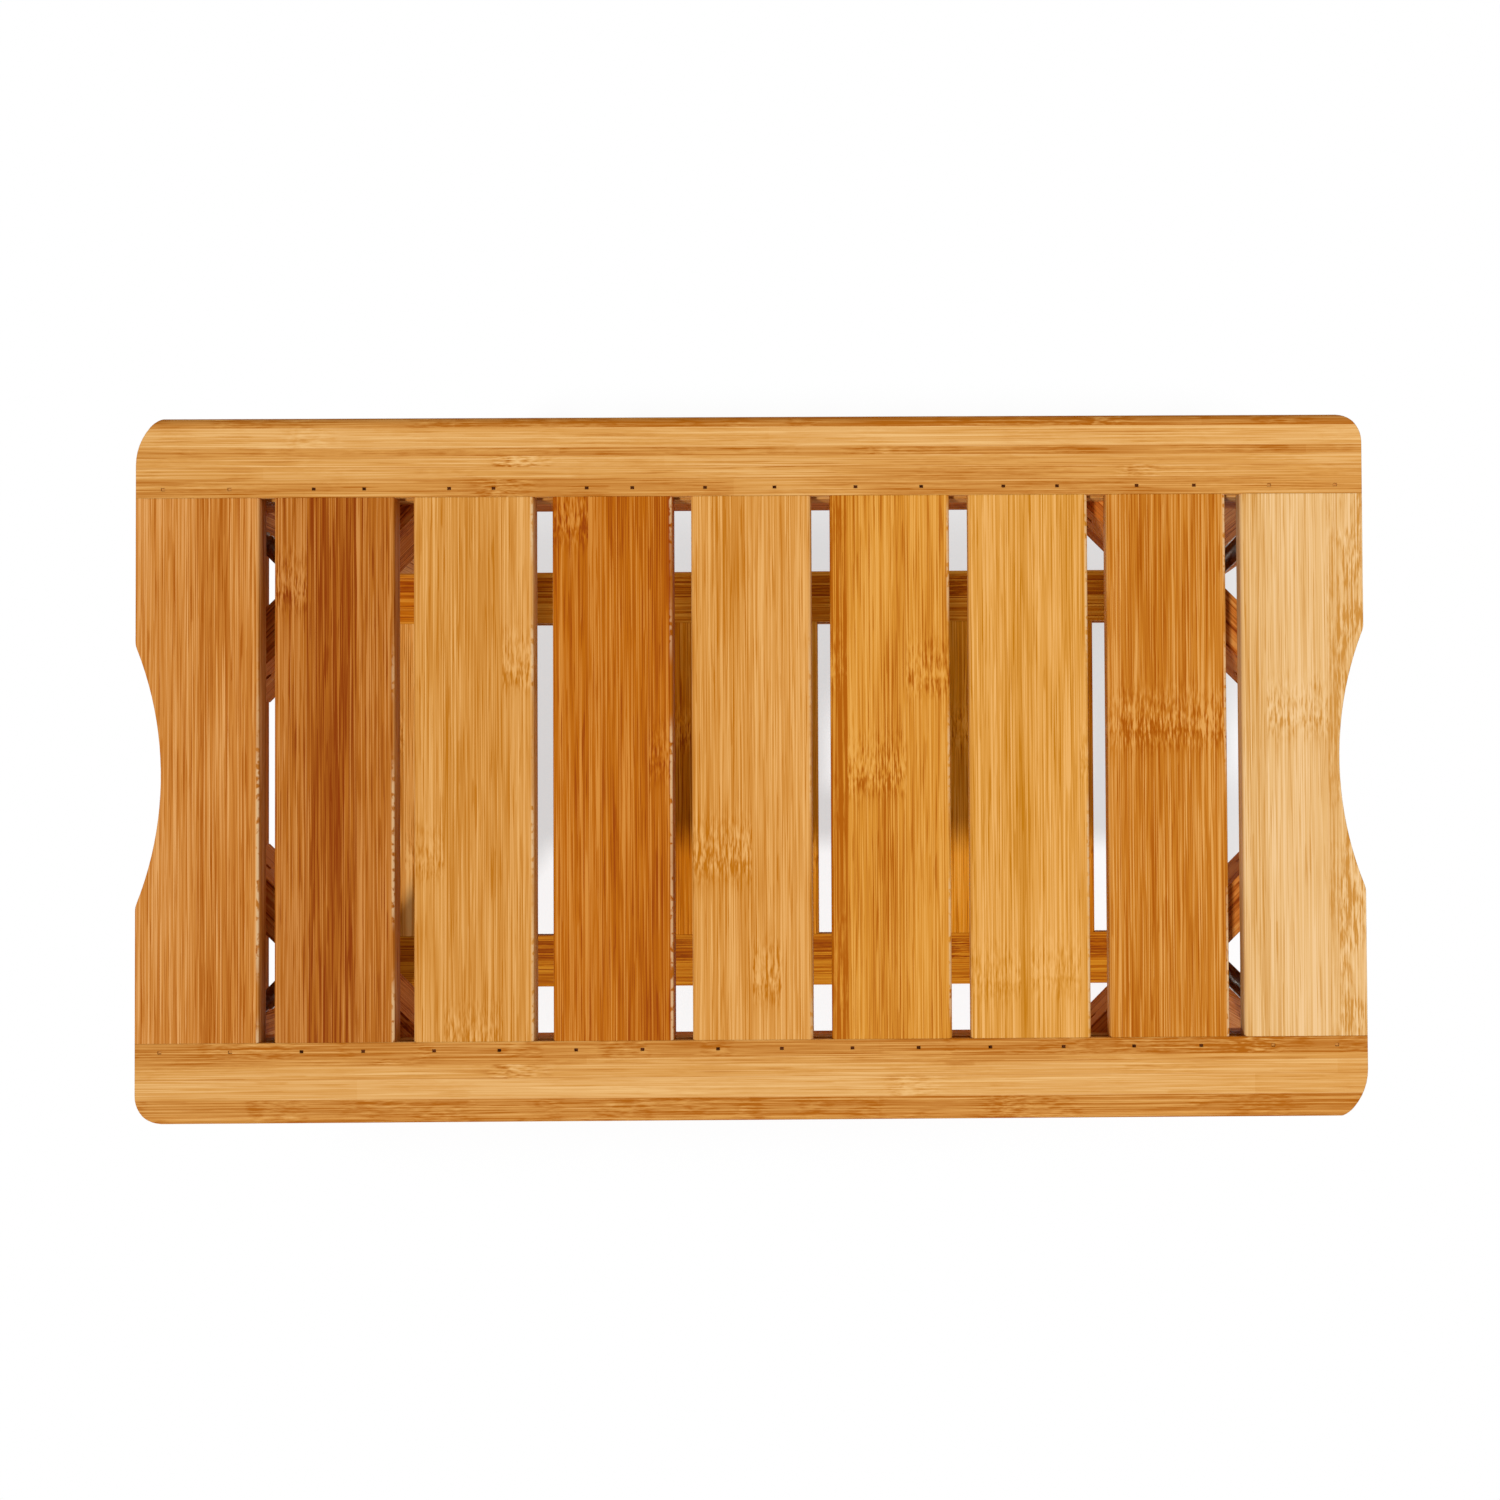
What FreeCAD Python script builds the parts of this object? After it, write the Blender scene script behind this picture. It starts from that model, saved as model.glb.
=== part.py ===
"""Bamboo shower bench: slatted seat, apron frame with corner braces, four legs and a slatted shelf.

The frame of the model: +Z up, +X along the bench, +Y towards its back, the origin on the floor
under the middle of the seat. Lengths are in millimetres.
"""
import FreeCAD, Part
import math
import os
from types import SimpleNamespace

from FreeCAD import Placement, Rotation, Vector
import Sketcher

SIZES = {
    # Seat, its two long rails and the boards between them
    "seat_length": 508,
    "seat_width": 292,
    "seat_height": 457,
    "rail_width": 33.5,
    "rail_thickness": 20,
    "rail_edge_round": 4,
    "corner_wide_round": 24,
    "corner_wide_rise": 19.8,
    "corner_tight_round": 12,
    "slat_gap": 7.8,
    "end_gap": 6.2,
    "slat_thickness": 9.5,
    "slat_edge_round": 1.6,
    "lip_thickness": 3.2,
    "groove_depth": 8.4,
    "tongue_length": 8,
    "end_board_width": 50.8,
    "scoop_chord": 108,
    "scoop_depth": 10.5,
    "scoop_shift": 2.4,
    "scoop_corner_round": 8,
    # Brads that pin each board's tongue in the rail: oblong in section, as a nail gun drives them
    "brad_width": 1.3,
    "brad_thickness": 1.0,
    "brad_length": 14,
    "brad_set": 0.4,
    "brad_edge": 3.6,
    # Frame under the seat
    "apron_height": 48,
    "apron_thickness": 18,
    "long_apron_setback": 4,
    "short_apron_setback": 16.8,
    "apron_edge_chamfer": 1.5,
    "brace_thickness": 17,
    "brace_reach": 60,
    # Legs
    "leg_depth": 18,
    "leg_breadth": 28.5,
    "leg_edge_round": 2,
    "pad_margin": 2,
    "pad_height": 4,
    "pad_corner_round": 3,
    # Shelf
    "shelf_height": 177,
    "shelf_end_lap": 10,
    "shelf_side_lap": 9.7,
    "shelf_rail_width": 28.7,
    "shelf_rail_thickness": 14,
    "shelf_rail_round": 3,
    "shelf_slat_width": 36,
    "shelf_slat_thickness": 8.5,
    "shelf_slat_chamfer": 1.2,
    "shelf_lip_thickness": 3,
    "shelf_groove_depth": 7,
    "shelf_tongue_length": 6.6,
    # Hanger bolts with their washers and nuts
    "bolt_diameter": 8,
    "bolt_in_leg": 20,
    "bolt_beyond_nut": 3,
    "washer_diameter": 20,
    "washer_thickness": 1.6,
    "nut_across_flats": 13,
    "nut_height": 6.5,
    # Wood screws
    "brace_screw_diameter": 3.6,
    "brace_screw_length": 26,
    "brace_screw_edge": 13,
    "brace_screw_spacing": 16,
    "brace_screw_sink": 1,
    "seat_screw_diameter": 4,
    "seat_screw_length": 40,
    "seat_screw_bite": 7.4,
    "shelf_screw_diameter": 4,
    "shelf_screw_length": 50,
    "shelf_screw_edge": 6.2,
    "screw_head_diameter": 7.6,
    "screw_head_height": 2.4,
    "screw_head_sink": 3.4,
    # Running fits
    "joint_clearance": 0.1,
    "overrun": 5,
}
SEAT_SLATS = 7
SHELF_SLATS_EACH_SIDE = 3
# Wood screws and their holes are drawn with this many flats. The upright ones pass through aprons
# that stand a quarter turn apart, so their outline has to look the same after such a turn.
SCREW_SIDES = 6
UPRIGHT_SCREW_SIDES = 8
QUARTER_TURN = 90
HALF_TURN = 2 * QUARTER_TURN
# Digits kept in a direction's shares, so that a share of nothing comes out as nothing
SHARE_DIGITS = 9

# How far each shelf slat stands from the one before it, as a share of the shelf's half between its
# end boards: they were set by eye, a little wider apart on the left.
SHELF_PITCH_RIGHT_SHARE = 0.2644
SHELF_PITCH_LEFT_SHARE = 0.2716

# Where the two brads of each board stand across its width, as shares of that width from its middle:
# back left, back right, front left, front right. The boards run from the left end to the right end.
BRAD_SHARES = [
    (-0.28, 0.26, -0.30, 0.27),
    (-0.17, 0.25, -0.27, 0.24),
    (-0.20, 0.17, -0.33, 0.21),
    (-0.21, 0.17, -0.31, 0.24),
    (-0.38, 0.20, -0.29, 0.24),
    (-0.28, 0.27, -0.33, 0.22),
    (-0.20, 0.25, -0.34, 0.27),
    (-0.24, 0.24, -0.30, 0.26),
    (-0.26, 0.28, -0.27, 0.25),
]
# Where the seat screws stand along a long apron and a short apron, as shares of the apron's length.
LONG_SCREW_SHARES = (-0.27, 0.0, 0.27)
SHORT_SCREW_SHARES = (-0.25, 0.25)

os.makedirs("parts", exist_ok=True)
doc = FreeCAD.newDocument("ShowerBench")
sheet = doc.addObject("Spreadsheet::Sheet", "Sheet")
for row, (alias, number) in enumerate(SIZES.items(), start=1):
    sheet.set(f"A{row}", alias)
    sheet.set(f"B{row}", str(number))
    sheet.setAlias(f"B{row}", alias)
doc.recompute()


class Size:
    """A length written with the sheet's cells: its formula and its present value."""

    def __init__(self, formula, value):
        self.formula = formula
        self.value = float(value)

    @staticmethod
    def of(thing):
        """Returns thing as a Size, where a plain number stands for itself."""
        return thing if isinstance(thing, Size) else Size(repr(thing), thing)

    def __add__(self, other):
        other = Size.of(other)
        return Size(f"({self.formula} + {other.formula})", self.value + other.value)

    def __sub__(self, other):
        other = Size.of(other)
        return Size(f"({self.formula} - {other.formula})", self.value - other.value)

    def __mul__(self, factor):
        factor = Size.of(factor)
        return Size(f"({self.formula} * {factor.formula})", self.value * factor.value)

    def __truediv__(self, factor):
        factor = Size.of(factor)
        return Size(f"({self.formula} / {factor.formula})", self.value / factor.value)

    def __neg__(self):
        return Size(f"(0 - {self.formula})", -self.value)

    def root(self):
        """Returns the square root."""
        return Size(f"sqrt({self.formula})", math.sqrt(self.value))

    __rmul__ = __mul__


ZERO = Size("0", 0)
ROOT_TWO = math.sqrt(2)
s = SimpleNamespace(**{alias: Size(f"Sheet.{alias}", sheet.get(alias)) for alias in SIZES})

# Places that several pieces share, worked out from the sizes
half_length = s.seat_length / 2
half_width = s.seat_width / 2
seat_bottom = s.seat_height - s.rail_thickness
board_bottom = s.seat_height - s.slat_thickness
rail_inner = half_width - s.rail_width
end_board_inner = half_length - s.end_board_width
slat_width = (end_board_inner * 2 - s.slat_gap * (SEAT_SLATS - 1) - s.end_gap * 2) / SEAT_SLATS
slat_pitch = slat_width + s.slat_gap
apron_bottom = seat_bottom - s.apron_height
long_apron_face = rail_inner + s.long_apron_setback
short_apron_face = end_board_inner + s.short_apron_setback
leg_outer_x = short_apron_face + s.apron_thickness
leg_outer_y = long_apron_face + s.apron_thickness
leg_inner_x = leg_outer_x - s.leg_depth
leg_inner_y = leg_outer_y - s.leg_breadth
brace_middle_z = apron_bottom + s.apron_height / 2
shelf_half = leg_inner_x + s.shelf_end_lap
shelf_outer = leg_inner_y + s.shelf_side_lap
shelf_inner = shelf_outer - s.shelf_rail_width
shelf_rail_bottom = s.shelf_height - s.shelf_rail_thickness

CORNERS = [("front_left", -1, -1), ("front_right", 1, -1), ("back_left", -1, 1), ("back_right", 1, 1)]
nodes = {}


def place(thing, at, turn=0):
    """Puts an object at a point given as three sizes, turned by an angle about the upright axis."""
    thing.Placement = Placement(Vector(*(c.value for c in at)), Rotation(Vector(0, 0, 1), turn))
    for axis, coordinate in zip("xyz", at):
        thing.setExpression(f"Placement.Base.{axis}", coordinate.formula)


def bind(thing, prop, size):
    """Ties a property of a feature to the sheet."""
    setattr(thing, prop, size.value)
    thing.setExpression(prop, size.formula)


def new_body(label):
    """Starts a piece, under the name of its node."""
    body = doc.addObject("PartDesign::Body", label)
    body.Label = label
    nodes[label] = body
    return body


def new_sketch(body, role="XY_Plane", at=(ZERO, ZERO, ZERO), rotation=None):
    """Adds a sketch on one of the body's own planes, moved to a point and turned if need be."""
    sketch = body.newObject("Sketcher::SketchObject", f"{body.Name}_sketch")
    origin_plane = next(f for f in body.Origin.OriginFeatures if f.Role == role)
    sketch.AttachmentSupport = [(origin_plane, "")]
    sketch.MapMode = "FlatFace"
    sketch.AttachmentOffset = Placement(Vector(*(c.value for c in at)), rotation or Rotation())
    for axis, coordinate in zip("xyz", at):
        if coordinate is not ZERO:
            sketch.setExpression(f"AttachmentOffset.Base.{axis}", coordinate.formula)
    return sketch


def fix(sketch, kind, *where_and_size):
    """Adds a constraint whose last argument is a size, and ties it to the sheet."""
    *where, size = where_and_size
    index = sketch.addConstraint(Sketcher.Constraint(kind, *where, size.value))
    sketch.setExpression(f"Constraints[{index}]", size.formula)


def pin_point(sketch, line, end, x, y):
    """Fixes an end of a line or arc, or a circle's centre, at two sizes from the sketch's origin."""
    fix(sketch, "DistanceX", -1, 1, line, end, x)
    fix(sketch, "DistanceY", -1, 1, line, end, y)


def outline(sketch, points):
    """Draws a closed outline of straight lines through points given as pairs of sizes."""
    corners = [Vector(x.value, y.value, 0) for x, y in points]
    first = sketch.GeometryCount
    for here, there in zip(corners, corners[1:] + corners[:1]):
        sketch.addGeometry(Part.LineSegment(here, there))
    count = len(points)
    for number in range(count):
        following = first + (number + 1) % count
        sketch.addConstraint(Sketcher.Constraint("Coincident", first + number, 2, following, 1))
    for number, (x, y) in enumerate(points):
        pin_point(sketch, first + number, 1, x, y)


def rectangle(sketch, left, right, bottom, top):
    """Draws a rectangle between four sizes."""
    outline(sketch, [(left, bottom), (right, bottom), (right, top), (left, top)])


def circle(sketch, x, y, diameter):
    """Draws a circle."""
    middle = Vector(x.value, y.value, 0)
    index = sketch.addGeometry(Part.Circle(middle, Vector(0, 0, 1), diameter.value / 2))
    fix(sketch, "Radius", index, diameter / 2)
    pin_point(sketch, index, 3, x, y)


def ring(sketch, x, y, diameter, sides=SCREW_SIDES):
    """Draws the many-sided outline of a screw's hole, with two of its corners level with its middle."""
    radius = diameter / 2
    corners = []
    for number in range(sides):
        turn = 2 * math.pi * number / sides
        along, aside = round(math.cos(turn), SHARE_DIGITS), round(math.sin(turn), SHARE_DIGITS)
        corners.append((x + radius * along, y + radius * aside))
    outline(sketch, corners)


def pad(body, sketch, length):
    """Raises a sketch into a solid."""
    feature = body.newObject("PartDesign::Pad", f"{body.Name}_pad")
    feature.Profile = sketch
    bind(feature, "Length", length)
    sketch.Visibility = False
    return feature


def pocket(body, sketch, length, both_ways=False):
    """Cuts a sketch into the solid, against the sketch's normal or to both sides of it."""
    feature = body.newObject("PartDesign::Pocket", f"{body.Name}_pocket")
    feature.Profile = sketch
    if both_ways:
        feature.SideType = "Symmetric"
    bind(feature, "Length", length)
    sketch.Visibility = False
    return feature


def edges_where(feature, test):
    """Lists the names of a feature's straight edges whose two ends pass a test."""
    doc.recompute()
    chosen = []
    for number, edge in enumerate(feature.Shape.Edges, start=1):
        straight = isinstance(edge.Curve, Part.Line)
        if straight and test(edge.Vertexes[0].Point, edge.Vertexes[-1].Point):
            chosen.append(f"Edge{number}")
    return chosen


def fillet(body, feature, radius, names):
    """Rounds the named edges of a feature."""
    rounded = body.newObject("PartDesign::Fillet", f"{body.Name}_fillet")
    rounded.Base = (feature, names)
    bind(rounded, "Radius", radius)
    return rounded


def chamfer(body, feature, size, names):
    """Bevels the named edges of a feature."""
    bevelled = body.newObject("PartDesign::Chamfer", f"{body.Name}_chamfer")
    bevelled.Base = (feature, names)
    bind(bevelled, "Size", size)
    return bevelled


def same(first, second):
    """Tells whether two lengths agree to within a hair."""
    return math.isclose(first, second, abs_tol=1e-4)


def heading(direction):
    """Returns the turn that points a drill or a screw, which lies along -Z, in a direction."""
    axis = Vector(*direction).normalize()
    if abs(axis.z) > abs(axis.x) + abs(axis.y):
        return Rotation(Vector(1, 0, 0), HALF_TURN)
    upright = Vector(0, 0, 1)
    return Rotation(upright.cross(-axis), upright, -axis, "ZYX")


def drill(body, mouth, direction, diameter, depth, rises=(ZERO,), draw=ring):
    """Drills level holes from a mouth point into the solid, one for each height above that point."""
    sketch = new_sketch(body, at=mouth, rotation=heading(direction))
    for rise in rises:
        draw(sketch, ZERO, rise, diameter)
    return pocket(body, sketch, depth)


def drill_up(body, places, mouth_z, diameter, depth):
    """Drills upright screw holes from below at a list of places."""
    sketch = new_sketch(body, at=(ZERO, ZERO, mouth_z), rotation=heading((0, 0, 1)))
    for x, y in places:
        ring(sketch, x, -y, diameter, UPRIGHT_SCREW_SIDES)
    return pocket(body, sketch, depth)


def drive_brads(body, places, mouth_z, depth):
    """Makes the slots that brads leave, from above, at a list of places."""
    sketch = new_sketch(body, at=(ZERO, ZERO, mouth_z))
    across, through = clear(s.brad_width) / 2, clear(s.brad_thickness) / 2
    for x, y in places:
        rectangle(sketch, x - across, x + across, y - through, y + through)
    return pocket(body, sketch, depth)


def clear(diameter):
    """Returns the hole for a pin of this diameter."""
    return diameter + 2 * s.joint_clearance


def seat_board_middles():
    """Returns the middle of each seat board along the bench and its width, from left to right."""
    end_middle = half_length - s.end_board_width / 2
    reach = (SEAT_SLATS - 1) // 2
    slats = [(slat_pitch * number, slat_width) for number in range(-reach, reach + 1)]
    return [(-end_middle, s.end_board_width), *slats, (end_middle, s.end_board_width)]


def brad_places(side):
    """Returns where the brads along one rail stand, along the bench; side is 1 at the back."""
    first = 0 if side > 0 else 2
    along = []
    for (middle, width), shares in zip(seat_board_middles(), BRAD_SHARES):
        along += [middle + width * shares[first], middle + width * shares[first + 1]]
    return along


def make_seat_rail(label, side):
    """Long rail: the outer arris is rounded, both ends are sawn round, a groove takes the boards."""
    body = new_body(label)
    sketch = new_sketch(body)
    rectangle(sketch, -half_length, half_length, ZERO, s.rail_width)
    stock = pad(body, sketch, s.rail_thickness)
    width, top = s.rail_width.value, s.rail_thickness.value
    arris = edges_where(stock, lambda a, b: all(same(p.y, width) and same(p.z, top) for p in (a, b)))
    fillet(body, stock, s.rail_edge_round, arris)
    waste = new_sketch(body, at=(ZERO, ZERO, s.rail_thickness + s.overrun))
    corner_waste(waste, -1, s.corner_wide_round, s.corner_wide_rise)
    corner_waste(waste, 1, s.corner_tight_round, s.corner_tight_round)
    pocket(body, waste, s.rail_thickness + 2 * s.overrun)
    groove = new_sketch(body, "YZ_Plane")
    rectangle(groove, -s.overrun, s.groove_depth,
              s.rail_thickness - s.slat_thickness - s.joint_clearance,
              s.rail_thickness - s.lip_thickness)
    pocket(body, groove, s.seat_length + 2 * s.overrun, both_ways=True)
    turned_along = brad_places(side) if side > 0 else [-x for x in brad_places(side)]
    drive_brads(body, [(x, s.brad_edge) for x in turned_along], s.rail_thickness,
                s.brad_length + s.brad_set + s.joint_clearance)
    screws = [long_apron_length * share for share in LONG_SCREW_SHARES]
    inset = s.long_apron_setback + s.apron_thickness / 2
    drill_up(body, [(x, inset) for x in screws], ZERO, clear(s.seat_screw_diameter),
             s.seat_screw_bite + s.joint_clearance)
    place(body, (ZERO, rail_inner * side, seat_bottom), 0 if side > 0 else HALF_TURN)


def corner_waste(sketch, end, radius, rise):
    """Draws what is sawn off a rail's outer corner: an arc that starts level with the end."""
    corner_x, corner_y = half_length * end, s.rail_width
    centre_x, centre_y = (half_length - radius) * end, s.rail_width - rise
    meets_x = centre_x + (radius * radius - rise * rise).root() * end
    meets = meets_x.value
    swing = math.atan2(rise.value, abs(meets - centre_x.value))
    centre = Vector(centre_x.value, centre_y.value, 0)
    out_x, out_y = corner_x + s.overrun * end, corner_y + s.overrun
    first = sketch.GeometryCount
    hoop = Part.Circle(centre, Vector(0, 0, 1), radius.value)
    low, high = (0, swing) if end > 0 else (math.pi - swing, math.pi)
    sketch.addGeometry(Part.ArcOfCircle(hoop, low, high))
    foot, head = (1, 2) if end > 0 else (2, 1)
    foot_point = Vector(corner_x.value, centre_y.value, 0)
    head_point = Vector(meets, corner_y.value, 0)
    stops = [foot_point, Vector(out_x.value, centre_y.value, 0), Vector(out_x.value, out_y.value, 0),
             Vector(meets, out_y.value, 0), head_point]
    for here, there in zip(stops, stops[1:]):
        sketch.addGeometry(Part.LineSegment(here, there))
    tie = [(first, foot, first + 1, 1), (first + 1, 2, first + 2, 1), (first + 2, 2, first + 3, 1),
           (first + 3, 2, first + 4, 1), (first + 4, 2, first, head)]
    for ends in tie:
        sketch.addConstraint(Sketcher.Constraint("Coincident", *ends))
    sketch.addConstraint(Sketcher.Constraint("Horizontal", first + 1))
    sketch.addConstraint(Sketcher.Constraint("Vertical", first + 2))
    sketch.addConstraint(Sketcher.Constraint("Horizontal", first + 3))
    sketch.addConstraint(Sketcher.Constraint("Vertical", first + 4))
    fix(sketch, "Radius", first, radius)
    pin_point(sketch, first, 3, centre_x, centre_y)
    fix(sketch, "DistanceY", -1, 1, first, foot, centre_y)
    fix(sketch, "DistanceX", -1, 1, first, head, meets_x)
    pin_point(sketch, first + 2, 2, out_x, out_y)


def board_between(body, width, span, tongue, thickness, lip):
    """Board with a tongue at each end: what is over the tongue is cut down by the rail's lip."""
    whole = span / 2 + tongue
    sketch = new_sketch(body)
    rectangle(sketch, -width / 2, width / 2, -whole, whole)
    pad(body, sketch, thickness)
    rebates = new_sketch(body, at=(ZERO, ZERO, thickness + s.overrun))
    for end in (-1, 1):
        rectangle(rebates, -width / 2 - s.overrun, width / 2 + s.overrun,
                  span / 2 * end, (whole + s.overrun) * end)
    return pocket(body, rebates, s.overrun + lip + s.joint_clearance)


def long_arrises(feature, width, span, top):
    """Lists the two long upper arrises of a board between the rails."""
    half, reach, level = width.value / 2, span.value / 2, top.value

    def is_long_arris(a, b):
        at_ends = all(same(abs(p.x), half) and same(abs(p.y), reach) for p in (a, b))
        return at_ends and same(a.x, b.x) and same(a.z, level) and same(b.z, level)
    return edges_where(feature, is_long_arris)


def brad_holes(body, number, width, turned=False):
    """Drills the two brad holes of each end of a board."""
    back_left, back_right, front_left, front_right = BRAD_SHARES[number]
    row = rail_inner + s.brad_edge
    sign = -1 if turned else 1
    places = [(width * share * sign, row * sign) for share in (back_left, back_right)]
    places += [(width * share * sign, -row * sign) for share in (front_left, front_right)]
    drive_brads(body, places, s.slat_thickness + s.overrun, s.slat_thickness + 2 * s.overrun)


def make_seat_slat(number):
    """One of the slats between the end boards."""
    middle, width = seat_board_middles()[number]
    body = new_body(f"seat_slat_{number}")
    board = board_between(body, width, rail_inner * 2, s.tongue_length, s.slat_thickness,
                          s.lip_thickness)
    fillet(body, board, s.slat_edge_round, long_arrises(board, width, rail_inner * 2, s.slat_thickness))
    brad_holes(body, number, width)
    place(body, (middle, ZERO, board_bottom))


def make_end_board(label, number, end):
    """End board with its scooped hand hold; the left one is the right one turned about."""
    middle, width = seat_board_middles()[number]
    body = new_body(label)
    board = board_between(body, width, rail_inner * 2, s.tongue_length, s.slat_thickness,
                          s.lip_thickness)
    half, reach, level = width.value / 2, rail_inner.value, s.slat_thickness.value

    def is_inner_arris(a, b):
        return all(same(p.x, -half) and same(abs(p.y), reach) and same(p.z, level) for p in (a, b))
    fillet(body, board, s.slat_edge_round, edges_where(board, is_inner_arris))
    radius = (s.scoop_chord * s.scoop_chord / 4 + s.scoop_depth * s.scoop_depth) / (s.scoop_depth * 2)
    scoop = new_sketch(body, at=(ZERO, ZERO, s.slat_thickness + s.overrun))
    circle(scoop, width / 2 + radius - s.scoop_depth, s.scoop_shift, radius * 2)
    cut = pocket(body, scoop, s.slat_thickness + 2 * s.overrun)
    shift, chord = s.scoop_shift.value, s.scoop_chord.value / 2

    def is_scoop_corner(a, b):
        return all(same(p.x, half) and same(abs(p.y - shift), chord) for p in (a, b))
    fillet(body, cut, s.scoop_corner_round, edges_where(cut, is_scoop_corner))
    brad_holes(body, number, width, turned=end < 0)
    across = short_apron_face + s.apron_thickness / 2 - (half_length - width / 2)
    screws = [(across, short_apron_length * share) for share in SHORT_SCREW_SHARES]
    drill_up(body, screws, ZERO, clear(s.seat_screw_diameter), s.seat_screw_bite + s.joint_clearance)
    place(body, (middle, ZERO, board_bottom), 0 if end > 0 else HALF_TURN)


long_apron_length = leg_inner_x * 2
short_apron_length = leg_inner_y * 2
# Along an apron, from the corner where the two apron faces would meet to the mouth of the brace
brace_face_along = s.brace_reach * ROOT_TWO


def apron_holes(body, corner_along, height, screw_shares, length, top_of_screw):
    """Drills an apron for the brace screws at both ends and for the seat screws from below."""
    from_corner = brace_face_along - s.brace_screw_edge * ROOT_TWO
    along = corner_along - from_corner
    half_spacing = s.brace_screw_spacing / 2
    bite = s.brace_screw_length + s.brace_screw_sink - s.brace_screw_edge + s.joint_clearance
    for end in (-1, 1):
        drill(body, (along * end, ZERO, s.apron_height / 2), (end, 1, 0),
              clear(s.brace_screw_diameter), bite, (half_spacing, -half_spacing))
    row = s.apron_thickness / 2
    places = [(length * share, row) for share in screw_shares]
    sink = top_of_screw - s.seat_screw_length + s.screw_head_height
    drill_up(body, places, ZERO, clear(s.screw_head_diameter), sink)
    drill_up(body, places, ZERO, clear(s.seat_screw_diameter), height + s.overrun)


def make_apron(label, length, height, corner_along, screw_shares, top_of_screw):
    """Upright board under the seat; its inner face lies on its body's own X axis."""
    body = new_body(label)
    sketch = new_sketch(body)
    rectangle(sketch, -length / 2, length / 2, ZERO, s.apron_thickness)
    board = pad(body, sketch, height)
    outer, half = s.apron_thickness.value, length.value / 2

    def is_lower_arris(a, b):
        return all(same(p.z, 0) and same(abs(p.x), half) for p in (a, b)) and same(a.y, b.y)
    chamfer(body, board, s.apron_edge_chamfer, edges_where(board, is_lower_arris))
    apron_holes(body, corner_along, height, screw_shares, length, top_of_screw)
    return body


def make_aprons():
    """Two long aprons under the rails and two short ones under the end boards."""
    rail_screw_top = s.apron_height + s.seat_screw_bite
    board_screw_top = board_bottom - apron_bottom + s.seat_screw_bite
    short_height = board_bottom - apron_bottom
    for label, turn, y in (("long_apron_back", 0, long_apron_face),
                           ("long_apron_front", HALF_TURN, -long_apron_face)):
        body = make_apron(label, long_apron_length, s.apron_height, short_apron_face,
                          LONG_SCREW_SHARES, rail_screw_top)
        place(body, (ZERO, y, apron_bottom), turn)
    for label, turn, x in (("short_apron_right", -QUARTER_TURN, short_apron_face),
                           ("short_apron_left", QUARTER_TURN, -short_apron_face)):
        body = make_apron(label, short_apron_length, short_height, long_apron_face,
                          SHORT_SCREW_SHARES, board_screw_top)
        place(body, (x, ZERO, apron_bottom), turn)


# The hanger bolt's line: it meets the leg's inner arris, so it passes the brace's middle by this much
bolt_aside = ((leg_inner_x - leg_inner_y) - (short_apron_face - long_apron_face)) / ROOT_TWO
# Along that line, from the brace's inner face to the leg's arris
leg_setback = (short_apron_face - leg_inner_x) + (long_apron_face - leg_inner_y)
leg_arris_reach = s.brace_reach - leg_setback / ROOT_TWO


def make_corner_brace(name, side_x, side_y):
    """Brace mitred into the corner: its own Y axis points out to the corner, square to its faces."""
    body = new_body(f"corner_brace_{name}")
    sketch = new_sketch(body)
    outer_half = s.brace_reach - s.brace_thickness
    outline(sketch, [(-s.brace_reach, ZERO), (s.brace_reach, ZERO),
                     (outer_half, s.brace_thickness), (-outer_half, s.brace_thickness)])
    pad(body, sketch, s.apron_height)
    middle = s.apron_height / 2
    half_spacing = s.brace_screw_spacing / 2
    handed = side_x * side_y
    drill(body, (bolt_aside * handed, ZERO, middle), (0, 1, 0), clear(s.bolt_diameter),
          s.brace_thickness + s.overrun, draw=circle)
    for end in (-1, 1):
        mouth = ((s.brace_reach - s.brace_screw_edge) * end, ZERO, middle)
        heights = (half_spacing, -half_spacing)
        drill(body, mouth, (0, 1, 0), clear(s.brace_screw_diameter), s.brace_thickness + s.overrun, heights)
    reach = s.brace_reach / ROOT_TWO
    at = ((short_apron_face - reach) * side_x, (long_apron_face - reach) * side_y, apron_bottom)
    place(body, at, math.degrees(math.atan2(side_y, side_x)) - QUARTER_TURN)


def make_leg(name, side_x, side_y):
    """Leg in the corner of the frame: its own origin is its inner arris, under its foot."""
    body = new_body(f"leg_{name}")
    sketch = new_sketch(body)
    outline(sketch, [(ZERO, ZERO), (s.leg_depth * side_x, ZERO),
                     (s.leg_depth * side_x, s.leg_breadth * side_y), (ZERO, s.leg_breadth * side_y)])
    height = seat_bottom - s.pad_height
    post = pad(body, sketch, height)
    fillet(body, post, s.leg_edge_round, edges_where(post, lambda a, b: not same(a.z, b.z)))
    bolt_z = brace_middle_z - s.pad_height
    drill(body, (ZERO, ZERO, bolt_z), (side_x, side_y, 0), clear(s.bolt_diameter), s.bolt_in_leg,
          draw=circle)
    screw_y = (shelf_screw_row - leg_inner_y) * side_y
    screw_z = shelf_screw_z - s.pad_height
    mouth = (s.leg_depth * side_x, screw_y, screw_z)
    drill(body, mouth, (-side_x, 0, 0), clear(s.screw_head_diameter), s.screw_head_sink, draw=circle)
    drill(body, mouth, (-side_x, 0, 0), clear(s.shelf_screw_diameter), s.leg_depth + s.overrun)
    place(body, (leg_inner_x * side_x, leg_inner_y * side_y, s.pad_height))


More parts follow.
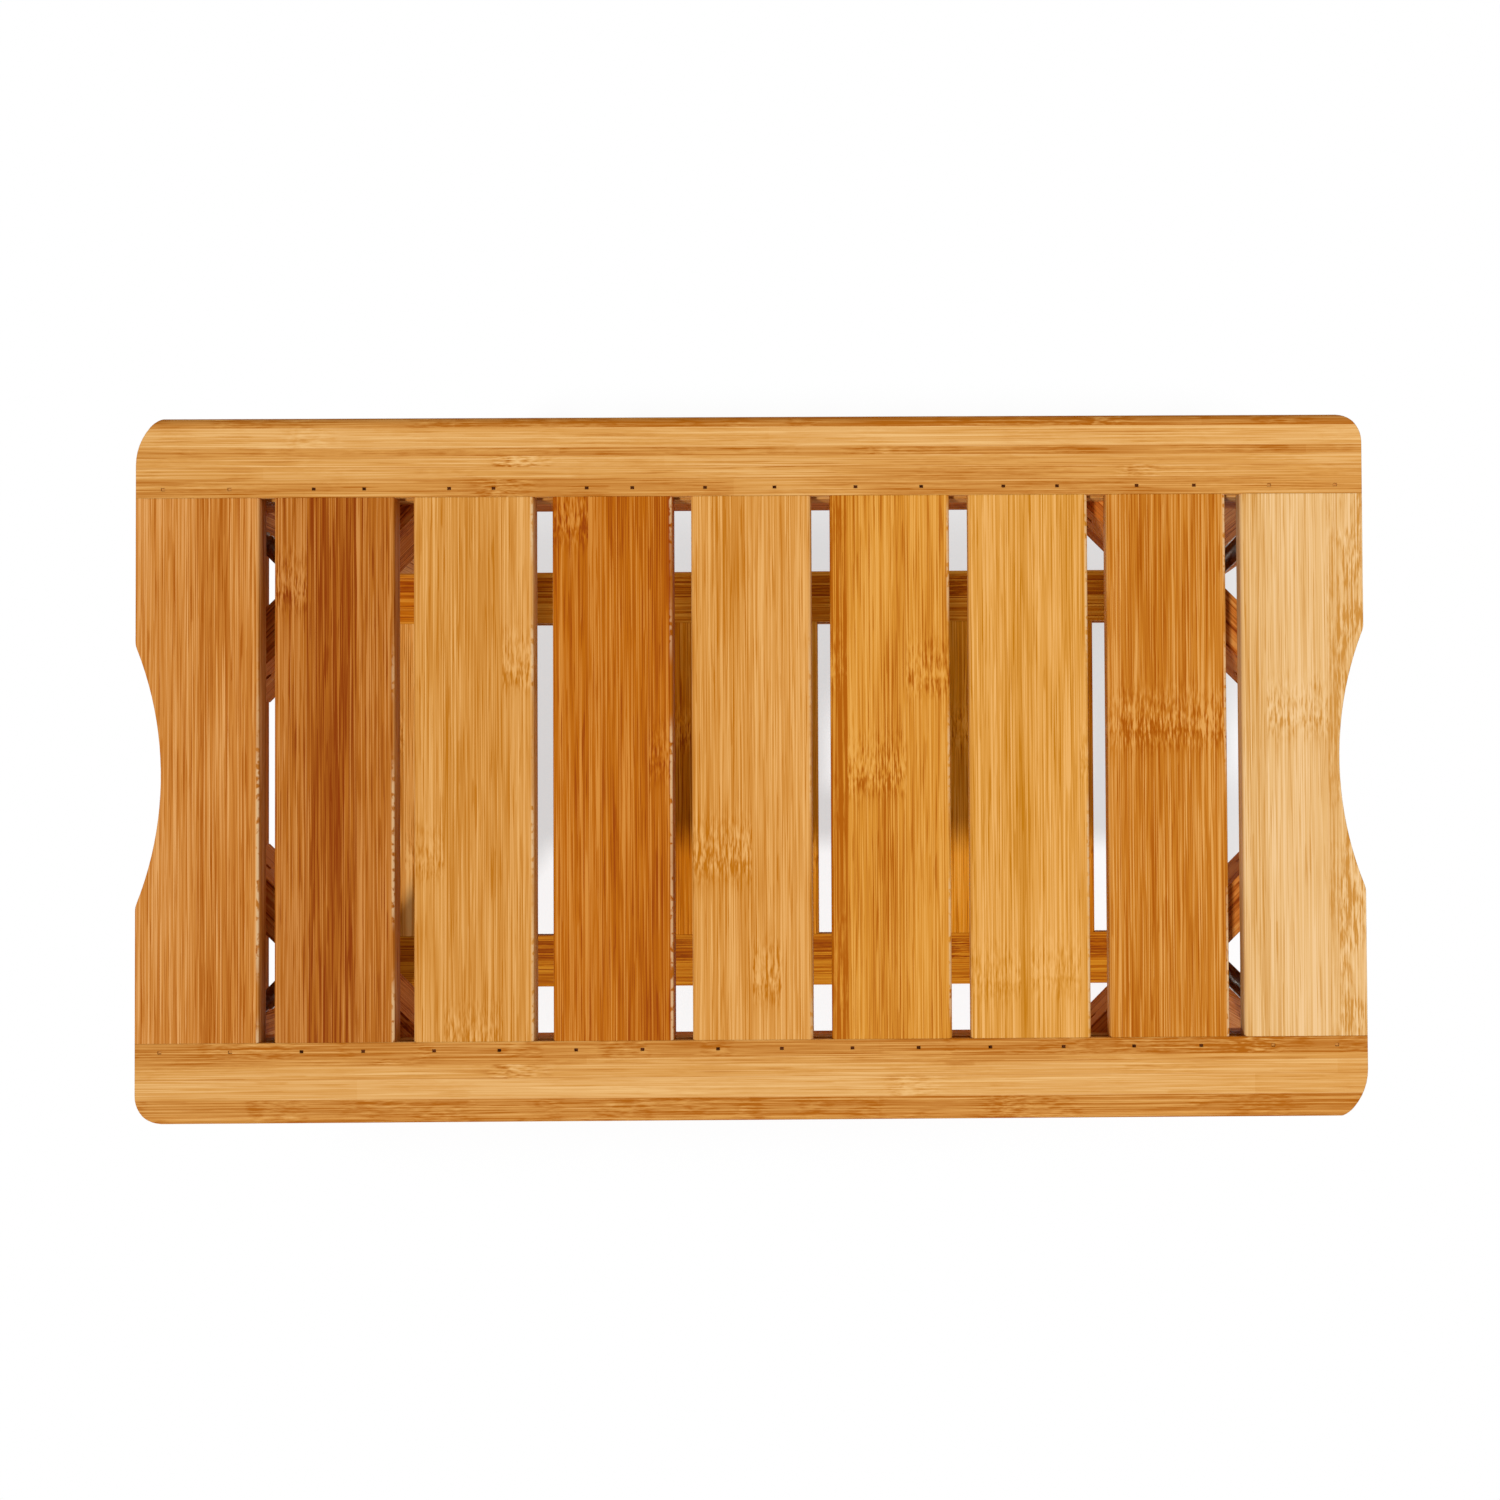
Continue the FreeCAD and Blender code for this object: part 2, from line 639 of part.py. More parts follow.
def make_foot_pad(name, side_x, side_y):
    """Rubber pad under a leg."""
    body = new_body(f"foot_pad_{name}")
    sketch = new_sketch(body)
    half_x, half_y = s.leg_depth / 2 - s.pad_margin, s.leg_breadth / 2 - s.pad_margin
    rectangle(sketch, -half_x, half_x, -half_y, half_y)
    slab = pad(body, sketch, s.pad_height)
    fillet(body, slab, s.pad_corner_round, edges_where(slab, lambda a, b: not same(a.z, b.z)))
    middle_x = (leg_inner_x + s.leg_depth / 2) * side_x
    middle_y = (leg_inner_y + s.leg_breadth / 2) * side_y
    place(body, (middle_x, middle_y, ZERO))


shelf_screw_row = leg_inner_y + s.shelf_screw_edge
shelf_screw_z = shelf_rail_bottom + s.shelf_rail_thickness / 2
shelf_bite = s.shelf_screw_length - s.leg_depth + s.screw_head_sink - s.screw_head_height


def make_shelf_rail(label, side):
    """Shelf rail, notched at both ends for the legs, with a groove for the shelf's boards."""
    body = new_body(label)
    sketch = new_sketch(body)
    rectangle(sketch, -shelf_half, shelf_half, ZERO, s.shelf_rail_width)
    stock = pad(body, sketch, s.shelf_rail_thickness)
    width, top = s.shelf_rail_width.value, s.shelf_rail_thickness.value
    arris = edges_where(stock, lambda a, b: all(same(p.y, width) and same(p.z, top) for p in (a, b)))
    fillet(body, stock, s.shelf_rail_round, arris)
    notch = new_sketch(body, at=(ZERO, ZERO, s.shelf_rail_thickness + s.overrun))
    for end in (-1, 1):
        rectangle(notch, leg_inner_x * end, (shelf_half + s.overrun) * end,
                  leg_inner_y - shelf_inner, s.shelf_rail_width + s.overrun)
    pocket(body, notch, s.shelf_rail_thickness + 2 * s.overrun)
    groove = new_sketch(body, "YZ_Plane")
    rectangle(groove, -s.overrun, s.shelf_groove_depth,
              s.shelf_rail_thickness - s.shelf_slat_thickness - s.joint_clearance,
              s.shelf_rail_thickness - s.shelf_lip_thickness)
    pocket(body, groove, (shelf_half + s.overrun) * 2, both_ways=True)
    row = shelf_screw_row - shelf_inner
    for end in (-1, 1):
        mouth = (leg_inner_x * end, row, s.shelf_rail_thickness / 2)
        drill(body, mouth, (-end, 0, 0), clear(s.shelf_screw_diameter), shelf_bite + s.joint_clearance)
    place(body, (ZERO, shelf_inner * side, shelf_rail_bottom), 0 if side > 0 else HALF_TURN)


def make_shelf_board(label, middle):
    """Slat or end board of the shelf."""
    body = new_body(label)
    board = board_between(body, s.shelf_slat_width, shelf_inner * 2, s.shelf_tongue_length,
                          s.shelf_slat_thickness, s.shelf_lip_thickness)
    names = long_arrises(board, s.shelf_slat_width, shelf_inner * 2, s.shelf_slat_thickness)
    chamfer(body, board, s.shelf_slat_chamfer, names)
    place(body, (middle, ZERO, s.shelf_height - s.shelf_slat_thickness))


def make_shelf():
    """Shelf between the legs: two rails, an end board at each end and the slats between."""
    make_shelf_rail("shelf_rail_back", 1)
    make_shelf_rail("shelf_rail_front", -1)
    end_middle = shelf_half - s.shelf_slat_width / 2
    clear_half = shelf_half - s.shelf_slat_width
    make_shelf_board("shelf_end_board_left", -end_middle)
    for number in range(-SHELF_SLATS_EACH_SIDE, SHELF_SLATS_EACH_SIDE + 1):
        share = SHELF_PITCH_LEFT_SHARE if number < 0 else SHELF_PITCH_RIGHT_SHARE
        middle = clear_half * (share * number)
        make_shelf_board(f"shelf_slat_{number + SHELF_SLATS_EACH_SIDE + 1}", middle)
    make_shelf_board("shelf_end_board_right", end_middle)


def flats(diameter, height, sides):
    """Returns the closed many-sided wire of a screw at one height."""
    turns = [2 * math.pi * number / sides for number in range(sides + 1)]
    return Part.makePolygon([Vector(diameter / 2 * math.cos(t), diameter / 2 * math.sin(t), height)
                             for t in turns])


def shank_shape(diameter, length, top=0, sides=SCREW_SIDES):
    """Shank of a wood screw from its top down to its point, which lies its length below zero."""
    outlines = [flats(diameter, top, sides), flats(diameter, diameter - length, sides),
                Part.Vertex(0, 0, -length)]
    return Part.makeLoft(outlines, True, True)


def screw_shape(diameter, length, sides=SCREW_SIDES):
    """Wood screw with a flat head: its top at zero, the shank down to a point."""
    head, seat = s.screw_head_diameter.value, -s.screw_head_height.value
    disc = Part.Face(flats(head, seat, sides)).extrude(Vector(0, 0, -seat))
    return disc.fuse(shank_shape(diameter, length, seat, sides))


def pointing(shape, at, direction):
    """Returns a copy whose head stands at a point and whose shank runs along a direction."""
    moved = shape.copy()
    moved.Placement = Placement(Vector(*at), heading(direction))
    return moved


def fastener_node(label, shapes):
    """Keeps like fasteners as separate solids of one node."""
    feature = doc.addObject("Part::Feature", label)
    feature.Label = label
    feature.Shape = Part.makeCompound(shapes)
    feature.Placement = Placement()
    nodes[label] = feature


def corner_point(side_x, side_y, reach, aside, height):
    """Point at a distance past the brace's inner face and to one side of the brace's middle."""
    x = short_apron_face.value + (reach - s.brace_reach.value + aside) / ROOT_TWO
    y = long_apron_face.value + (reach - s.brace_reach.value - aside) / ROOT_TWO
    return x * side_x, y * side_y, height


def make_corner_fasteners():
    """Hanger bolt, washer and nut at each corner, and four headless screws sunk in each brace."""
    bolts, washers, nuts, screws = [], [], [], []
    outside = s.washer_thickness.value + s.nut_height.value + s.bolt_beyond_nut.value
    length = outside + leg_arris_reach.value + s.bolt_in_leg.value - s.joint_clearance.value
    bolt = Part.makeCylinder(s.bolt_diameter.value / 2, length, Vector(0, 0, -length))
    bore = Part.makeCylinder(clear(s.bolt_diameter).value / 2, s.nut_height.value)
    corners = [Vector(math.cos(turn), math.sin(turn), 0) * (s.nut_across_flats.value / math.sqrt(3))
               for turn in (math.pi / 3 * number for number in range(6))]
    hexagon = Part.Face(Part.makePolygon([*corners, corners[0]]))
    nut = hexagon.extrude(Vector(0, 0, s.nut_height.value)).cut(bore)
    washer = Part.makeCylinder(s.washer_diameter.value / 2, s.washer_thickness.value).cut(bore)
    screw = shank_shape(s.brace_screw_diameter.value, s.brace_screw_length.value)
    aside = bolt_aside.value
    across = s.brace_reach.value - s.brace_screw_edge.value
    z = brace_middle_z.value
    for _, side_x, side_y in CORNERS:
        outward = (side_x, side_y, 0)
        at_face = corner_point(side_x, side_y, 0, aside, z)
        under_nut = corner_point(side_x, side_y, -s.washer_thickness.value, aside, z)
        bolts.append(pointing(bolt, corner_point(side_x, side_y, -outside, aside, z), outward))
        washers.append(pointing(washer, at_face, outward))
        nuts.append(pointing(nut, under_nut, outward))
        for end in (-1, 1):
            for rise in (-1, 1):
                level = z + rise * s.brace_screw_spacing.value / 2
                head = corner_point(side_x, side_y, s.brace_screw_sink.value, across * end, level)
                screws.append(pointing(screw, head, outward))
    fastener_node("hanger_bolts", bolts)
    fastener_node("hanger_bolt_washers", washers)
    fastener_node("hanger_bolt_nuts", nuts)
    fastener_node("brace_screws", screws)


def make_seat_screws():
    """Screws that hold the seat down, sunk in the aprons' lower edges."""
    screw = screw_shape(s.seat_screw_diameter.value, s.seat_screw_length.value, UPRIGHT_SCREW_SIDES)
    up = (0, 0, 1)
    row_y = long_apron_face.value + s.apron_thickness.value / 2
    row_x = short_apron_face.value + s.apron_thickness.value / 2
    shapes = []
    for side in (-1, 1):
        for share in LONG_SCREW_SHARES:
            head_z = seat_bottom.value + s.seat_screw_bite.value - s.seat_screw_length.value
            shapes.append(pointing(screw, (long_apron_length.value * share, row_y * side, head_z), up))
        for share in SHORT_SCREW_SHARES:
            head_z = board_bottom.value + s.seat_screw_bite.value - s.seat_screw_length.value
            shapes.append(pointing(screw, (row_x * side, short_apron_length.value * share, head_z), up))
    fastener_node("seat_screws", shapes)


def make_shelf_screws():
    """One screw through each leg into the end of a shelf rail."""
    screw = screw_shape(s.shelf_screw_diameter.value, s.shelf_screw_length.value)
    sunk = s.screw_head_sink.value - s.screw_head_height.value
    shapes = [pointing(screw, ((leg_outer_x.value - sunk) * side_x, shelf_screw_row.value * side_y,
                               shelf_screw_z.value), (-side_x, 0, 0))
              for _, side_x, side_y in CORNERS]
    fastener_node("shelf_screws", shapes)


def make_brads():
    """Headless brads through the rails' lips and the tongues of the boards."""
    width, thickness, length = s.brad_width.value, s.brad_thickness.value, s.brad_length.value
    row = rail_inner.value + s.brad_edge.value
    low = s.seat_height.value - s.brad_set.value - length
    shapes = [Part.makeBox(width, thickness, length,
                           Vector(x.value - width / 2, row * side - thickness / 2, low))
              for side in (-1, 1) for x in brad_places(side)]
    fastener_node("brad_nails", shapes)


def check_and_export():
    """Stops on any failed object, then writes one file for each node."""
    doc.recompute()
    for thing in doc.Objects:
        if "Invalid" in thing.State or "Error" in thing.State:
            raise RuntimeError(f"{thing.Name}: {thing.State}")
    for label, thing in nodes.items():
        if thing.Shape.isNull() or not thing.Shape.isValid() or not thing.Shape.Solids:
            raise RuntimeError(f"{label}: no sound solid")
    for label, thing in nodes.items():
        thing.Shape.exportStep(f"parts/{label}.step")
    print(len(nodes), "nodes written")


make_seat_rail("seat_rail_back", 1)
make_seat_rail("seat_rail_front", -1)
make_end_board("end_board_left", 0, -1)
for slat_number in range(1, SEAT_SLATS + 1):
    make_seat_slat(slat_number)
make_end_board("end_board_right", SEAT_SLATS + 1, 1)
make_aprons()
for corner in CORNERS:
    make_corner_brace(*corner)
    make_leg(*corner)
    make_foot_pad(*corner)
make_shelf()
make_corner_fasteners()
make_seat_screws()
make_shelf_screws()
make_brads()
check_and_export()
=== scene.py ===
"""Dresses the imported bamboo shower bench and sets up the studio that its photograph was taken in.

Every board keeps its CAD mesh and gets a bamboo finish of its own, laid out strip by strip. The
screws, bolts, nuts, washers and rubber pads are modelled here, with threads, recesses and chamfers.
Lengths are in metres in the part's own frame: X along the bench, Y towards its back, Z up.
"""
import logging
import math
from dataclasses import dataclass
from enum import Enum
from typing import Any

import bmesh
import bpy
from mathutils import Matrix, Vector


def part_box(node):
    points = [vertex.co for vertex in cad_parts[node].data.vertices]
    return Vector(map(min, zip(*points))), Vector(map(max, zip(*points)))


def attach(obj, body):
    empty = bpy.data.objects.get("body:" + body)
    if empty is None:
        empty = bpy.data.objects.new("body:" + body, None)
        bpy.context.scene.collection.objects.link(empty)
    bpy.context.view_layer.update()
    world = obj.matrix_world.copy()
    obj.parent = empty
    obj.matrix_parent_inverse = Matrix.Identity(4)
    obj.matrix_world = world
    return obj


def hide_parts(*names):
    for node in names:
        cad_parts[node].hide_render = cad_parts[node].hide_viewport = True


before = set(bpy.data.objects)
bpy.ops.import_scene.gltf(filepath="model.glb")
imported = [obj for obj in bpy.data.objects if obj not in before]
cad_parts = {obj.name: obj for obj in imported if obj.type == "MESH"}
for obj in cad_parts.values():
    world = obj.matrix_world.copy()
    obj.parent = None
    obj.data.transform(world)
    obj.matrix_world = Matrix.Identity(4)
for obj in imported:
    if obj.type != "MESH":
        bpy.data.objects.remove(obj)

LOG = logging.getLogger("shower_bench")
MM = 0.001
HAIR = 0.001 * MM
FULL_TURN = 2 * math.pi
CORNERS = {"front_left": (-1, -1), "front_right": (1, -1),
           "back_left": (-1, 1), "back_right": (1, 1)}
SMOOTH_BELOW = math.radians(32)
WOOD_SPECULAR = 0.04
THREAD_ROOT = 0.96
NUMBER, VECTOR = "NodeSocketFloat", "NodeSocketVector"
BLACK, WHITE = (0, 0, 0, 1), (1, 1, 1, 1)

Socket = bpy.types.NodeSocket
Rgba = tuple[float, float, float, float]
Triple = tuple[float, float, float]
Feed = Socket | float | tuple[float, ...]


def srgb(red: int, green: int, blue: int) -> Rgba:
    """Turns a colour as a screen shows it into the linear colour that shaders take.

    Args:
        red: Red, 0 to 255.
        green: Green, 0 to 255.
        blue: Blue, 0 to 255.

    Returns:
        The linear colour with an alpha of 1.
    """
    def linear(level: int) -> float:
        """Returns the linear share of one channel."""
        share = level / 255
        return share / 12.92 if share <= 0.04045 else ((share + 0.055) / 1.055) ** 2.4
    return linear(red), linear(green), linear(blue), 1.0


class Grain(Enum):
    """How a board lies: the direction across its strips, and the direction of its fibres."""

    LYING_Y = ((1, 0, 0), (0, 1, 0))
    LYING_X = ((0, -1, 0), (1, 0, 0))
    STANDING_X = ((0, 0, 1), (1, 0, 0))
    STANDING_Y = ((0, 0, 1), (0, 1, 0))
    UPRIGHT = ((0, 1, 0), (0, 0, 1))
    DIAGONAL_FALLING = ((0, 0, 1), (1, -1, 0))
    DIAGONAL_RISING = ((0, 0, 1), (1, 1, 0))

    def turn(self) -> Matrix:
        """Returns the turn from the bench's axes to across, along and through the board."""
        across, along = (Vector(way).normalized() for way in self.value)
        return Matrix((across, along, across.cross(along)))


@dataclass(frozen=True)
class Board:
    """A board of the bench.

    Attributes:
        node: Name of its CAD node.
        grain: How it lies.
    """

    node: str
    grain: Grain

    def middle(self) -> Vector:
        """Returns its middle."""
        low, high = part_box(self.node)
        return (low + high) / 2

    def size(self) -> Vector:
        """Returns its size across, along and through."""
        low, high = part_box(self.node)
        return Vector([sum(abs(share) * extent for share, extent in zip(row, high - low))
                       for row in self.grain.turn()])


@dataclass(frozen=True)
class Strip:
    """One glued strip of a board.

    Attributes:
        start: Where it starts across the board, as a share of the width.
        tone: How much paler (up to 1) or darker (down to -1) it is than the board.
        knuckle: Where the cane's knuckle crosses it, from the board's middle, as a share of its
            length.
        strength: How strongly the knuckle shows, 0 for none.
        mottle: How strongly short dark dashes show in patches all along it.
    """

    start: float
    tone: float = 0.0
    knuckle: float = 0.0
    strength: float = 0.0
    mottle: float = 0.0


@dataclass(frozen=True)
class BambooFinish:
    """The colours and strips of one board.

    Attributes:
        name: Name of the material.
        deep: Colour of its darkest fibres.
        mid: Its usual colour.
        pale: Colour of its palest fibres.
        strips: Its strips, from the first to the last across it.
        lap: Length of the pieces that each strip is joined from, 0 where it is whole.
        arris_highlight: How strongly a painted highlight shows along the long upper arris on its
            far side.
        seed: Sets its own fibres apart from other boards'.
        contrast: How strongly its fibres differ from each other.
    """

    name: str
    deep: Rgba
    mid: Rgba
    pale: Rgba
    strips: tuple[Strip, ...]
    lap: float = 0.0
    arris_highlight: float = 0.0
    seed: float = 0.0
    contrast: float = 1.0


class Graph:
    """A node tree with short ways to add nodes and wire them."""

    def __init__(self, tree: bpy.types.NodeTree) -> None:
        """Takes the tree to build."""
        self.tree = tree

    def add(self, kind: str, **settings: Any) -> bpy.types.Node:
        """Adds a node.

        Args:
            kind: The node's type.
            **settings: Its properties.

        Returns:
            The node.
        """
        node = self.tree.nodes.new(kind)
        for name, value in settings.items():
            setattr(node, name, value)
        return node

    def feed(self, socket: Socket, value: Feed) -> None:
        """Gives an input a link or a constant.

        Args:
            socket: The input.
            value: An output to link, or the constant.
        """
        if isinstance(value, bpy.types.NodeSocket):
            self.tree.links.new(value, socket)
        else:
            socket.default_value = value

    def wired(self, kind: str, *values: Feed, **settings: Any) -> Socket:
        """Adds a node and feeds its first inputs.

        Args:
            kind: The node's type.
            *values: What its inputs get, in their order.
            **settings: Its properties.

        Returns:
            Its first output.
        """
        node = self.add(kind, **settings)
        for socket, value in zip(node.inputs, values):
            self.feed(socket, value)
        return node.outputs[0]

    def math(self, operation: str, *values: Feed, clamp: bool = False) -> Socket:
        """Returns what an operation makes of numbers."""
        return self.wired("ShaderNodeMath", *values, operation=operation, use_clamp=clamp)

    def product(self, *values: Feed) -> Socket:
        """Multiplies two numbers or more.

        Args:
            *values: The numbers.

        Returns:
            Their product.
        """
        first, *others = values
        for value in others:
            first = self.math("MULTIPLY", first, value)
        return first

    def swing(self, value: Socket, gain: float) -> Socket:
        """Turns 0 to 1 into a swing about zero."""
        return self.product(self.math("SUBTRACT", value, 0.5), gain)

    def noise(self, vector: Socket, scale: Triple, detail: float = 2.0,
              roughness: float = 0.5) -> Socket:
        """Adds noise.

        Args:
            vector: Where it is read.
            scale: Its frequency along each axis, per metre.
            detail: Number of its finer octaves.
            roughness: How strong those are.

        Returns:
            The noise, 0 to 1.
        """
        place = self.wired("ShaderNodeVectorMath", vector, scale, operation="MULTIPLY")
        node = self.add("ShaderNodeTexNoise")
        for name, value in (("Vector", place), ("Scale", 1.0), ("Detail", detail),
                            ("Roughness", roughness)):
            self.feed(node.inputs[name], value)
        return node.outputs[0]

    def smooth(self, value: Socket, low: float, high: float, start: float = 0.0,
               end: float = 1.0) -> Socket:
        """Maps a value smoothly to another range.

        Args:
            value: The value.
            low: Where its own range starts.
            high: Where that ends.
            start: What low becomes.
            end: What high becomes.

        Returns:
            The mapped value.
        """
        return self.wired("ShaderNodeMapRange", value, low, high, start, end,
                          interpolation_type="SMOOTHSTEP")

    def mix(self, factor: Feed, first: Feed, second: Feed) -> Socket:
        """Mixes two colours.

        Args:
            factor: The second colour's share.
            first: The first colour.
            second: The second colour.

        Returns:
            The mixed colour.
        """
        node = self.add("ShaderNodeMix", data_type="RGBA")
        for number, value in ((0, factor), (6, first), (7, second)):
            self.feed(node.inputs[number], value)
        return node.outputs[2]

    def ramp(self, factor: Socket, stops: list[tuple[float, tuple]],
             constant: bool = False) -> bpy.types.Node:
        """Adds a colour ramp.

        Args:
            factor: The place on it, 0 to 1.
            stops: Its places and their colours.
            constant: Whether each colour holds up to the next place.

        Returns:
            The ramp's node.
        """
        node = self.add("ShaderNodeValToRGB")
        node.color_ramp.interpolation = "CONSTANT" if constant else "LINEAR"
        elements = node.color_ramp.elements
        while len(elements) < len(stops):
            elements.new(1.0)
        for element, (place, colour) in zip(elements, stops):
            element.position, element.color = place, colour
        self.feed(node.inputs[0], factor)
        return node

    def split(self, value: Socket, kind: str = "XYZ") -> tuple[Socket, ...]:
        """Splits a vector, or with the kind Color a colour, into its three numbers."""
        node = self.wired(f"ShaderNodeSeparate{kind}", value).node
        return tuple(node.outputs)

    def join(self, x: Feed, y: Feed, z: Feed) -> Socket:
        """Joins three numbers into a vector."""
        return self.wired("ShaderNodeCombineXYZ", x, y, z)

    def place(self) -> Socket:
        """Returns the place on the object."""
        return self.add("ShaderNodeTexCoord").outputs["Object"]

    def group(self, tree: bpy.types.NodeTree, values: dict[str, Feed]) -> dict[str, Socket]:
        """Places a group and feeds it.

        Args:
            tree: The group.
            values: What its inputs get, by name.

        Returns:
            Its outputs by name.
        """
        node = self.add("ShaderNodeGroup", node_tree=tree)
        for label, value in values.items():
            self.feed(node.inputs[label], value)
        return {output.name: output for output in node.outputs}

    def bump(self, shader: bpy.types.Node, height: Socket, strength: float, distance: float,
             normal: Socket | None = None) -> None:
        """Gives a shader a bump.

        Args:
            shader: The shader.
            height: The bump's height, from about 0 to 1.
            strength: How strongly it shows.
            distance: How high a height of 1 is.
            normal: The normal that it starts from, if not the surface's own.
        """
        node = self.add("ShaderNodeBump")
        for name, value in (("Strength", strength), ("Distance", distance), ("Height", height)):
            self.feed(node.inputs[name], value)
        if normal is not None:
            self.feed(node.inputs["Normal"], normal)
        self.feed(shader.inputs["Normal"], node.outputs[0])


class GroupBuilder:
    """Starts a shader node group with named inputs and outputs."""

    def __init__(self, name: str, inputs: dict[str, str], outputs: tuple[str, ...]) -> None:
        """Makes an empty group.

        Args:
            name: Its name.
            inputs: Names and kinds of its inputs.
            outputs: Names of its outputs, which are numbers.
        """
        self.tree = bpy.data.node_groups.new(name, "ShaderNodeTree")
        for label, kind in inputs.items():
            self.tree.interface.new_socket(label, in_out="INPUT", socket_type=kind)
        for label in outputs:
            self.tree.interface.new_socket(label, in_out="OUTPUT", socket_type=NUMBER)
        self.graph = Graph(self.tree)
        self.given = self.graph.add("NodeGroupInput").outputs
        self.sink = self.graph.add("NodeGroupOutput")

    def give(self, **results: Socket) -> bpy.types.NodeTree:
        """Wires the group's outputs.

        Args:
            **results: What its outputs get, by name.

        Returns:
            The group.
        """
        for label, value in results.items():
            self.graph.feed(self.sink.inputs[label], value)
        return self.tree


@dataclass(frozen=True)
class Layer:
    """A layer of noise.

    Attributes:
        scale: Its frequency along each axis, per metre.
        gain: How much it adds.
        detail: Number of its finer octaves.
        roughness: How strong those are.
        cut: The levels where its marks start and where they are full.
    """

    scale: Triple
    gain: float = 1.0
    detail: float = 2.0
    roughness: float = 0.5
    cut: tuple[float, float] = (0.0, 1.0)

    def draw(self, g: Graph, place: Socket) -> Socket:
        """Returns its noise at a place, 0 to 1."""
        return g.noise(place, self.scale, self.detail, self.roughness)

    def swing(self, g: Graph, place: Socket) -> Socket:
        """Returns its swing about zero at a place."""
        return g.swing(self.draw(g, place), self.gain)

    def marks(self, g: Graph, place: Socket, start: float = 0.0) -> Socket:
        """Returns its marks at a place, from a start to 1."""
        return g.smooth(self.draw(g, place), *self.cut, start, 1.0)


@dataclass(frozen=True)
class BambooFigure:
    """Bamboo's fibres, threads, pores and knuckles, on a scale of tone from 0, deep, to 1, pale.

    Attributes:
        clouds: Broad, faint changes of tone.
        streaks: Streaks as wide as a bundle of fibres.
        fibres: The fibres.
        threads: Thin pale threads.
        pores: Short dark pores.
        waver: How far a knuckle wavers along the board.
        dashes: The dashes at a knuckle.
        mottling: The dashes of a mottled strip.
        patches: Where a strip's mottling gathers.
        faint: How strong the mottling is elsewhere.
        usual: The usual tone.
        strip_gain: How much a strip's own tone adds.
        reach: How far the dashes reach beyond a knuckle's ridge, and back from it.
        shade_reach: How far the shade behind the ridge reaches.
        shade: How dark that is.
        ridge: Half width of the ridge where it is full, and where it ends.
        ridge_shade: How dark the ridge is.
        mottle_shade: How dark a mottled patch is.
    """

    clouds: Layer = Layer((70, 9, 40), 0.6, 2, 0.55)
    streaks: Layer = Layer((1150, 7, 640), 1.15, 2, 0.62)
    fibres: Layer = Layer((2100, 20, 1200), 1.25, 1, 0.6)
    threads: Layer = Layer((1600, 11, 900), 0.42, 0, cut=(0.58, 0.64))
    pores: Layer = Layer((1700, 40, 900), -0.26, 0, cut=(0.62, 0.68))
    waver: Layer = Layer((420, 0, 260), 7 * MM, 3)
    dashes: Layer = Layer((1150, 150, 600), 4.2, 2, 0.62)
    mottling: Layer = Layer((1000, 130, 500), 4.0, 2, 0.62)
    patches: Layer = Layer((55, 42, 40), detail=1, cut=(0.44, 0.56))
    faint: float = 0.15
    usual: float = 0.45
    strip_gain: float = 0.36
    reach: tuple[float, float] = (26 * MM, -12 * MM)
    shade_reach: float = -16 * MM
    shade: float = -0.2
    ridge: tuple[float, float] = (0.3 * MM, 1.2 * MM)
    ridge_shade: float = -0.16
    mottle_shade: float = -0.25

    def build(self) -> bpy.types.NodeTree:
        """Makes the group.

        Returns:
            A group that takes a place on a board (across, along, through), the strip's tone, the
            distance from its knuckle, the knuckle's strength, the strip's mottle and the contrast,
            and gives the tone and a height for the bump.
        """
        group = GroupBuilder("bamboo_figure", {
            "Place": VECTOR, "Tone": NUMBER, "Knuckle Distance": NUMBER, "Knuckle Strength": NUMBER,
            "Mottle": NUMBER, "Contrast": NUMBER}, ("Tone", "Height"))
        g, given = group.graph, group.given
        place = given["Place"]
        streaks, fibres = self.streaks.draw(g, place), self.fibres.draw(g, place)
        swing = self.overlay(g, place)
        for value, gain in ((streaks, self.streaks.gain), (fibres, self.fibres.gain)):
            swing = g.math("ADD", swing, g.swing(value, gain))
        tone = g.math("MULTIPLY_ADD", given["Tone"], self.strip_gain, self.usual)
        tone = g.math("MULTIPLY_ADD", swing, given["Contrast"], tone)
        off = g.math("ADD", given["Knuckle Distance"], self.waver.swing(g, place))
        strength = given["Knuckle Strength"]
        full, end = self.ridge
        ridge = g.product(g.smooth(g.math("ABSOLUTE", off), full, end, 1, 0), strength)
        tone = g.math("ADD", tone, g.product(self.knuckle(g, place, off), strength))
        tone = g.math("MULTIPLY_ADD", ridge, self.ridge_shade, tone)
        mottle = g.product(given["Mottle"], self.patches.marks(g, place, self.faint))
        dashes = g.math("ADD", self.mottling.swing(g, place), self.mottle_shade)
        tone = g.math("MULTIPLY_ADD", mottle, dashes, tone, clamp=True)
        height = g.math("ADD", g.swing(fibres, 0.6), g.swing(streaks, 0.5))
        return group.give(Tone=tone, Height=g.math("MULTIPLY_ADD", ridge, -0.5, height))

    def overlay(self, g: Graph, place: Socket) -> Socket:
        """Draws what lies over the streaks and fibres.

        Args:
            g: The group's graph.
            place: The place on the board.

        Returns:
            What the clouds, threads and pores add to the tone.
        """
        swing = self.clouds.swing(g, place)
        for layer in (self.pores, self.threads):
            swing = g.math("MULTIPLY_ADD", layer.marks(g, place), layer.gain, swing)
        return swing

